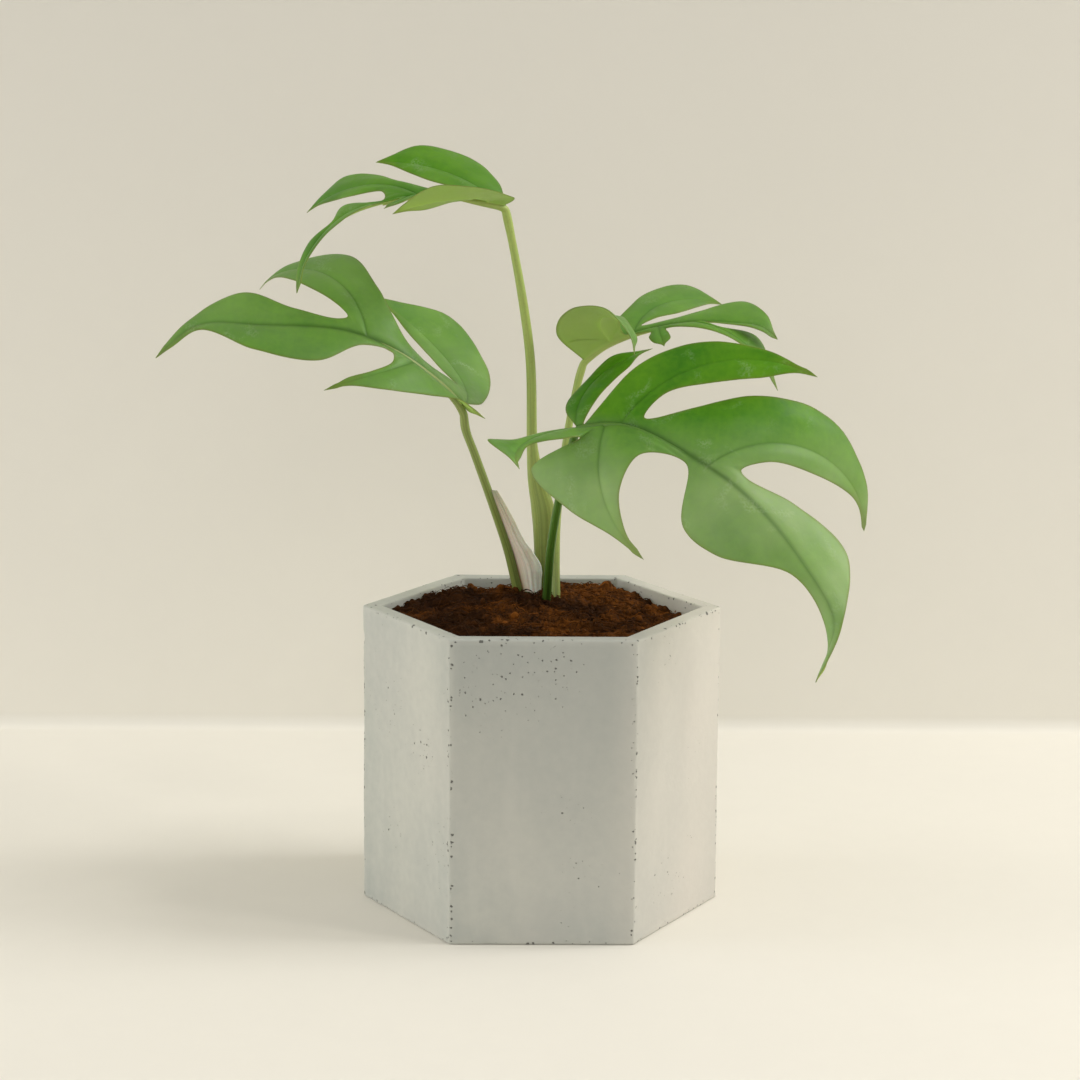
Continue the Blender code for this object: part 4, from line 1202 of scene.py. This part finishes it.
class MONSTERA_OT_stalks(bpy.types.Operator):
    """Grow the four stalks out of the coir and on under their blades"""

    bl_idname = "monstera.stalks"
    bl_label = "Stalks"

    def execute(self, context):
        looks = context.scene.monstera_stalks
        pale, dark = looks.pale, looks.dark
        green = stalk_material("Pale stalk", 0.8 * pale, pale, 0.5 * pale)
        young = stalk_material("Dark stalk", dark, 1.5 * dark, 0.45 * dark)
        for name, stalk in STALKS.items():
            wing = TOP_WING if name == "petiole_top" else NO_WING
            points, marks, grain = stalk_points(stalk, LEAVES[name.replace("petiole", "leaf")], wing)
            marks["shade"] = STALK_SHADE.get(name, 0.0)
            front = name == "petiole_front"
            material = young if front else green
            piece = closed_grid(name.replace("petiole", "stalk"), points, material, marks, grain)
            place_piece(piece, name)
        return {"FINISHED"}


def sheath_points():
    """The sheath: a strip from the left stalk to its free edge, row by row, that bulges to the front.

    Waves along it and fine noise crumple it, its free edge is ragged, and its faces lie a thickness apart.
    """
    path, radii = stalk_route(STALKS["petiole_left"])
    edge = smooth_path(SHEATH_EDGE, SHEATH_SPAN_STEPS)
    heights = np.linspace(SHEATH_EDGE[0][2], SHEATH_EDGE[-1][2], SHEATH_ROWS)
    free = along(heights, edge[:, 2], edge)
    free[:, 2] = heights
    stalk = along(heights, path[:, 2], np.column_stack([path, radii]))
    held = stalk[:, :3] + np.outer(stalk[:, 3] * 0.82, (1, 0, 0))
    across = np.linspace(0, 1, SHEATH_COLUMNS)[None, :, None]
    ragged = np.maximum(lattice_noise(heights, 0, 0, RAGGED_CELL, RAGGED_SEED), 0)[:, None, None]
    reach = across * (1 - RAGGED_SHARE * ragged)
    sheet = (1 - reach) * held[:, None] + reach * free[:, None]
    width = np.linalg.norm(free - held, axis=1)[:, None, None]
    bulge = SHEATH_BULGE * width / width.max() * np.sin(np.pi * across)
    tuck = SHEATH_TUCK * (1 - across) ** 3
    ridges = np.sin(9 * np.pi * across + 0.05 * heights[:, None, None])
    ridges = SHEATH_RIDGE * ridges * np.sin(np.pi * across)
    crumple = SHEATH_CRUMPLE * octaves(*np.moveaxis(sheet, -1, 0), *CRUMPLE_WAVE)[..., None] * across
    sheet = sheet - (bulge + tuck + ridges + crumple) * np.array([0, 1.0, 0])
    down = unit(np.gradient(sheet, axis=0))
    right = unit(np.gradient(sheet, axis=1))
    thick = unit(np.cross(right, down)) * (SHEATH_THICKNESS * (1 - 0.6 * across ** 4) / 2)
    loop = np.concatenate([sheet + thick, (sheet - thick)[:, ::-1]], axis=1)
    ends = [loop[i:i + 1] * 0 + loop[i].mean(axis=0) for i in (0, SHEATH_ROWS - 1)]
    points = np.concatenate([ends[0], loop, ends[1]])
    share = np.concatenate([across[0, :, 0], across[0, ::-1, 0]])
    rows = np.concatenate([heights[:1], heights, heights[-1:]])[:, None]
    grain = spread_over(points.shape[:2], share, (rows - rows[0]) / (rows[-1] - rows[0]))
    return points, {"share": grain[..., 0], "rise": grain[..., 1]}, grain


def papery_material(looks):
    """A dry sheath: pale, streaked along its length, stained at its foot and dark beside the stalk."""
    material, tree, shader = new_material("Papery sheath", 0.4)
    share, rise = mark(tree, "share"), mark(tree, "rise")
    streaks = noise(tree, mapped(tree, grain_map(tree), scale=(22, 1.6, 1)), 1.0, 4.0)
    color = mixed(tree, ranged(tree, streaks, 0.35, 0.7), tint(looks.papery), tint(looks.papery, 0.80))
    low = times(tree, ranged(tree, rise, 0.55, 0.15), ranged(tree, share, 0.42, 0.05))
    color = mixed(tree, times(tree, low, 0.6), color, tint(looks.stain))
    color = mixed(tree, ranged(tree, share, 0.10, 0.0, 0.0, 0.8), color, SHEATH_SEAM)
    color = mixed(tree, ranged(tree, rise, 0.55, 1.0, 0.0, 0.5), color, SHEATH_GREEN)
    color = mottle(tree, color, SHEATH_SPOT, 160.0, 900.0, 0.50, 0.85, 0.6)["Color"]
    matt = ranged(tree, streaks, 0.3, 0.7, 0.45, 0.7)
    finished(tree, shader, color, matt, streaks, 0.7, 0.15, (0.25, 0.002))
    return material


class MONSTERA_OT_sheath(bpy.types.Operator):
    """Wrap the dry sheath round the left stalk's foot"""

    bl_idname = "monstera.sheath"
    bl_label = "Papery sheath"

    def execute(self, context):
        points, marks, grain = sheath_points()
        material = papery_material(context.scene.monstera_stalks)
        piece = closed_grid("papery_sheath", points, material, marks, grain)
        place_piece(piece, "sheath_left")
        return {"FINISHED"}


def blade_sheet(leaf):
    """The blade's middle surface, sector by sector: rows that go from the veins out to the margin.

    A point lies on the line from the inner line to the margin and rises with a half wave along it. Gives the
    points with their triangles, the map in hundredths of a metre along and off the vein, and five marks: how
    near the midrib is, how near a side vein is, how near either is from further off, how near the margin is,
    and the distance off the vein.
    """
    points, triangles, grain, marks = [], [], [], []
    start = 0
    across = ROW_PLACES[:, None, None]
    for inner, normals, outer, rib, taper, hand in blade_sectors(leaf):
        width = np.linalg.norm(outer - inner, axis=1)
        sheet = (1 - across) * inner + across * outer
        sheet = sheet + normals * width[:, None] * BLADE_ARCH * np.sin(np.pi * across)
        off = ROW_PLACES[:, None] * width
        quads = grid_faces(len(ROW_PLACES), len(inner))[:, ::1 if hand > 0 else -1]
        points.append(sheet.reshape(-1, 3))
        triangles.append(halved(quads) + start)
        grain.append(spread_over(off.shape, travelled(inner), off).reshape(-1, 2) / 10)
        spread = VEIN_WIDTH + (MIDRIB_WIDTH - VEIN_WIDTH) * rib
        near = np.exp(-(off / (spread * (0.45 + 0.55 * taper))) ** 2) * taper
        broad = np.exp(-(off / (4.2 * spread)) ** 2) * taper
        edge = np.exp(-((1 - ROW_PLACES)[:, None] * width / 0.55) ** 2)
        edge = np.maximum(edge, np.exp(-(width / 2.2) ** 2) * (taper < 0.35))
        marks.append(np.stack([near * rib, near * (1 - rib), broad, edge, off / 10], -1).reshape(-1, 5))
        start += off.size
    return np.vstack(points), np.vstack(triangles), np.vstack(grain), np.vstack(marks)


def boundary_edges(triangles):
    """The directed edges of a surface that no other face runs back along."""
    edges = np.concatenate([triangles[:, [0, 1]], triangles[:, [1, 2]], triangles[:, [2, 0]]])
    step = triangles.max() + 1
    forth, back = edges[:, 0] * step + edges[:, 1], edges[:, 1] * step + edges[:, 0]
    return edges[~np.isin(forth, back)]


def blade_solid(leaf):
    """The blade: its middle surface with an upper and a lower face and a rim between them.

    The faces lie half a thickness off, less at the margin. Above, the ribs are grooves, below they stand out.
    Slow waves lift the surface a little away from the veins.
    """
    flat, faces, grain, marks = blade_sheet(leaf)
    first, triangles, stays = joined(flat, faces)
    corners = grain[faces[stays]]
    sheet, (main, side, broad, edge, off) = flat[first], marks[first].T
    waves = octaves(*sheet.T, *SHEET_WAVE) * SHEET_LIFT * np.minimum(off / 0.8, 1)
    quilt = QUILT_LIFT * np.sin(np.pi * 2 * off / QUILT_STEP) * np.minimum(off / 0.5, 1) * (1 - edge)
    sheet = sheet + point_normals(sheet, triangles) * (waves + quilt)[:, None]
    normal = point_normals(sheet, triangles)
    full = np.minimum(off / 0.3, 1) * (1 - edge)
    half = (MARGIN_THICKNESS + (BLADE_THICKNESS - MARGIN_THICKNESS) * full) / 2
    above = sheet + normal * (half - RIB_ABOVE * main - 0.6 * RIB_ABOVE * side)[:, None]
    below = sheet - normal * (half + RIB_BELOW * main + 0.4 * RIB_BELOW * side)[:, None]
    count = len(sheet)
    start, end = boundary_edges(triangles).T
    wall = halved(np.stack([end, start, start + count, end + count], -1))
    everything = np.vstack([triangles, triangles[:, ::-1] + count, wall])
    every_corner = np.vstack([corners, corners[:, ::-1], np.zeros((len(wall), 3, 2))])
    marks = {"midrib": main, "vein": side, "broad": broad, "margin": edge, "off": off}
    marks = {label: np.tile(values, 2) for label, values in marks.items()}
    marks["under"] = np.repeat([0.0, 1.0], count)
    return np.vstack([above, below]), everything, marks, every_corner


def leaf_material(looks):
    """A blade: mottled greens, fine veins off the ribs, a dry margin, mineral dust and a pale underside."""
    material, tree, shader = new_material("Leaf green", 0.16)
    shader.inputs["Subsurface Radius"].default_value = (0.6, 1.0, 0.15)
    where = object_place(tree)
    midrib, vein, broad, margin, under = (
        mark(tree, name) for name in ("midrib", "vein", "broad", "margin", "under"))
    body = mottle(tree, tint(looks.deep), tint(looks.fresh), 42.0, 520.0, 0.34, 0.66, 0.28)
    color = mixed(tree, times(tree, broad, 0.45), body["Color"], tint(looks.deep, 0.72))
    stretched = mapped(tree, grain_map(tree), scale=(0.01 / looks.vein_spacing, 0.35, 1))
    veinlets = noise(tree, stretched, 1.0, 2.0, 0.2)
    lines = times(tree, ranged(tree, veinlets, 0.50, 0.60), 0.05)
    color = mixed(tree, lines, color, tint(looks.fresh, 1.6))
    # Painted sheen: a pale haze in noise patches over the low part of the hanging blade and over each blade's
    # own share.
    painted_sheen = most(tree, ranged(tree, coordinate(tree, where, "Z"), 0.172, 0.148), mark(tree, "dull"))
    painted_sheen = times(tree, painted_sheen, ranged(tree, noise(tree, where, 30.0), 0.30, 0.62, 0.55, 1.0))
    color = mixed(tree, times(tree, painted_sheen, looks.painted_sheen_share), color, tint(looks.painted_sheen))
    ribs = plus(tree, times(tree, vein, 0.5), times(tree, midrib, 0.8))
    color = mixed(tree, ribs, color, tint(looks.deep, 0.55))
    dust = ranged(tree, noise(tree, where, 95.0, 6.0, 0.6), 0.58, 0.78, 0.0, 0.28)
    dust = times(tree, dust, ranged(tree, noise(tree, where, 1500.0, 2.0), 0.4, 0.6))
    color = mixed(tree, dust, color, DUST)
    below = mixed(tree, most(tree, midrib, vein), tint(looks.underside), tint(looks.underside, 1.25))
    color = mixed(tree, under, color, below)
    color = mixed(tree, times(tree, margin, 0.55), color, tint(looks.margin))
    matt = ranged(tree, body["Height"], 0.3, 0.7, looks.roughness - 0.06, looks.roughness + 0.08)
    matt = plus(tree, matt, times(tree, under, 0.15))
    relief = plus(tree, times(tree, veinlets, 0.25), times(tree, body["Height"], 0.45))
    finished(tree, shader, color, matt, relief, 0.45, 0.25, (0.28, 0.0015))
    return material


class MONSTERA_OT_leaves(bpy.types.Operator):
    """Unfold the four split blades"""

    bl_idname = "monstera.leaves"
    bl_label = "Leaves"

    def execute(self, context):
        material = leaf_material(context.scene.monstera_leaves)
        for node, leaf in LEAVES.items():
            solid, triangles, marks, grain = blade_solid(leaf)
            # Each blade's share of the painted sheen.
            marks["dull"] = np.full(len(solid), SHEEN_BY_BLADE[node])
            piece = make_object(node.replace("leaf", "blade"), solid, triangles, material, marks, grain)
            place_piece(piece, node)
        return {"FINISHED"}


def stage_points():
    """The stage: a floor line that turns up into a wall through a fillet, carried from right to left."""
    turn = np.linspace(0, np.pi / 2, 9)
    fillet = WALL_PLACE - WALL_FILLET + WALL_FILLET * np.sin(turn)
    depth = np.concatenate([[FLOOR_FRONT], fillet, [WALL_PLACE]])
    rise = np.concatenate([[0], WALL_FILLET * (1 - np.cos(turn)), [WALL_TOP]])
    x = np.linspace(FLOOR_HALF_WIDTH, -FLOOR_HALF_WIDTH, 3)
    return spread_over((len(depth), 3), x, depth[:, None], rise[:, None])


def stage_material(looks):
    """Pale painted board with the faintest mottle, painted shade up the wall and in its corner, clear to a
    camera behind it.
    """
    material, tree, shader = new_material("Pale board", 0.3)
    board = mottle(tree, tint(looks.floor), tint(looks.floor, 0.985), 5.0, 90.0)
    height = coordinate(tree, object_place(tree), "Z")
    # Painted shade: the wall gets darker towards its top.
    color = mixed(tree, ranged(tree, height, 0.02, 0.36), board["Color"], tint(looks.floor, 0.82))
    # Painted shade: a faint dark line along the corner where the floor turns up into the wall.
    painted_corner_shade = times(tree, ranged(tree, height, 0.0003, 0.002), ranged(tree, height, 0.007, 0.003))
    color = mixed(tree, times(tree, painted_corner_shade, 0.10), color, tint(looks.floor, 0.4))
    fill(tree, shader, {"Base Color": color, "Roughness": 0.75})
    behind = add(tree, "NewGeometry").outputs["Backfacing"]
    seen = times(tree, behind, add(tree, "LightPath").outputs["Is Camera Ray"])
    clear = add(tree, "BsdfTransparent").outputs[0]
    sheet = add(tree, "MixShader", {0: seen, 1: shader.outputs[0], 2: clear}).outputs[0]
    fill(tree, tree.nodes["Material Output"], {"Surface": sheet})
    return material


def put(obj, place, right, up, back):
    """Put a light or a camera at a place in millimetres, turned to its own three directions."""
    turn = Matrix(np.stack([right, up, back], -1).tolist()).to_4x4()
    obj.matrix_world = Matrix.Translation([float(value) * MM for value in place]) @ turn


def add_light(name, power, size, place, target, color):
    """Add a round soft light that faces its target."""
    lamp = bpy.data.lights.new(name, "AREA")
    lamp.shape = "DISK"
    lamp.energy = power
    lamp.size = size
    lamp.color = color
    back = unit(np.array(place, float) - np.array(target, float))
    right = unit(np.cross(np.array([0, 0, 1.0]), back))
    put(in_scene(name, lamp), place, right, np.cross(back, right), back)


def add_camera(scene):
    """Place the camera by its pitch, yaw and roll."""
    yaw, pitch, roll = CAMERA_YAW, CAMERA_PITCH, CAMERA_ROLL
    ahead = np.array([np.sin(yaw) * np.cos(pitch), np.cos(yaw) * np.cos(pitch), -np.sin(pitch)])
    level = np.array([np.cos(yaw), -np.sin(yaw), 0])
    over = np.cross(level, ahead)
    lens = bpy.data.cameras.new("Camera")
    lens.lens = CAMERA_LENS
    lens.sensor_width = SENSOR
    lens.clip_start, lens.clip_end = 0.05, 20
    scene.camera = in_scene("Camera", lens)
    put(scene.camera, CAMERA_PLACE, level * np.cos(roll) + over * np.sin(roll),
        over * np.cos(roll) - level * np.sin(roll), -ahead)


class MONSTERA_OT_stage(bpy.types.Operator):
    """Set up the pale floor and wall, the soft lights and the camera"""

    bl_idname = "monstera.stage"
    bl_label = "Stage"

    def execute(self, context):
        scene = context.scene
        looks = scene.monstera_stage
        points = stage_points()
        faces = halved(grid_faces(*points.shape[:2]))[:, ::-1]
        board = make_object("pale_board", points.reshape(-1, 3), faces, stage_material(looks))
        for name, field, *rest in LIGHTS:
            add_light(name, getattr(looks, field), *rest)
        world = bpy.data.worlds.new("Room")
        world.use_nodes = True
        sky = world.node_tree.nodes["Background"]
        sky.inputs["Color"].default_value = (1.0, 0.98, 0.94, 1)
        sky.inputs["Strength"].default_value = looks.sky
        scene.world = world
        scene.view_settings.view_transform = "Standard"
        add_camera(scene)
        return {"FINISHED"}


PIECES = (MONSTERA_OT_stage, MONSTERA_OT_pot, MONSTERA_OT_soil, MONSTERA_OT_stalks, MONSTERA_OT_sheath,
          MONSTERA_OT_leaves)
LOOKS = {
    "monstera_pot": PotLooks,
    "monstera_soil": SoilLooks,
    "monstera_stalks": StalkLooks,
    "monstera_leaves": LeafLooks,
    "monstera_stage": StageLooks,
}


class MONSTERA_PT_panel(bpy.types.Panel):
    """Lists the looks and the pieces"""

    bl_label = "Potted mini monstera"
    bl_idname = "MONSTERA_PT_panel"
    bl_space_type = "VIEW_3D"
    bl_region_type = "UI"
    bl_category = "Monstera"

    def draw(self, context):
        layout = self.layout
        for name, looks in LOOKS.items():
            box = layout.box()
            for field in looks.__annotations__:
                box.prop(getattr(context.scene, name), field)
        for piece in PIECES:
            layout.operator(piece.bl_idname)


CLASSES = (*LOOKS.values(), *PIECES, MONSTERA_PT_panel)


def register():
    for item in CLASSES:
        bpy.utils.register_class(item)
    for name, looks in LOOKS.items():
        setattr(bpy.types.Scene, name, PointerProperty(type=looks))


def unregister():
    for name in LOOKS:
        delattr(bpy.types.Scene, name)
    for item in reversed(CLASSES):
        bpy.utils.unregister_class(item)


def main():
    """Register the classes and make every piece in order."""
    register()
    bpy.ops.monstera.stage()
    bpy.ops.monstera.pot()
    bpy.ops.monstera.soil()
    bpy.ops.monstera.stalks()
    bpy.ops.monstera.sheath()
    bpy.ops.monstera.leaves()
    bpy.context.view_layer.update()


if __name__ == "__main__":
    main()
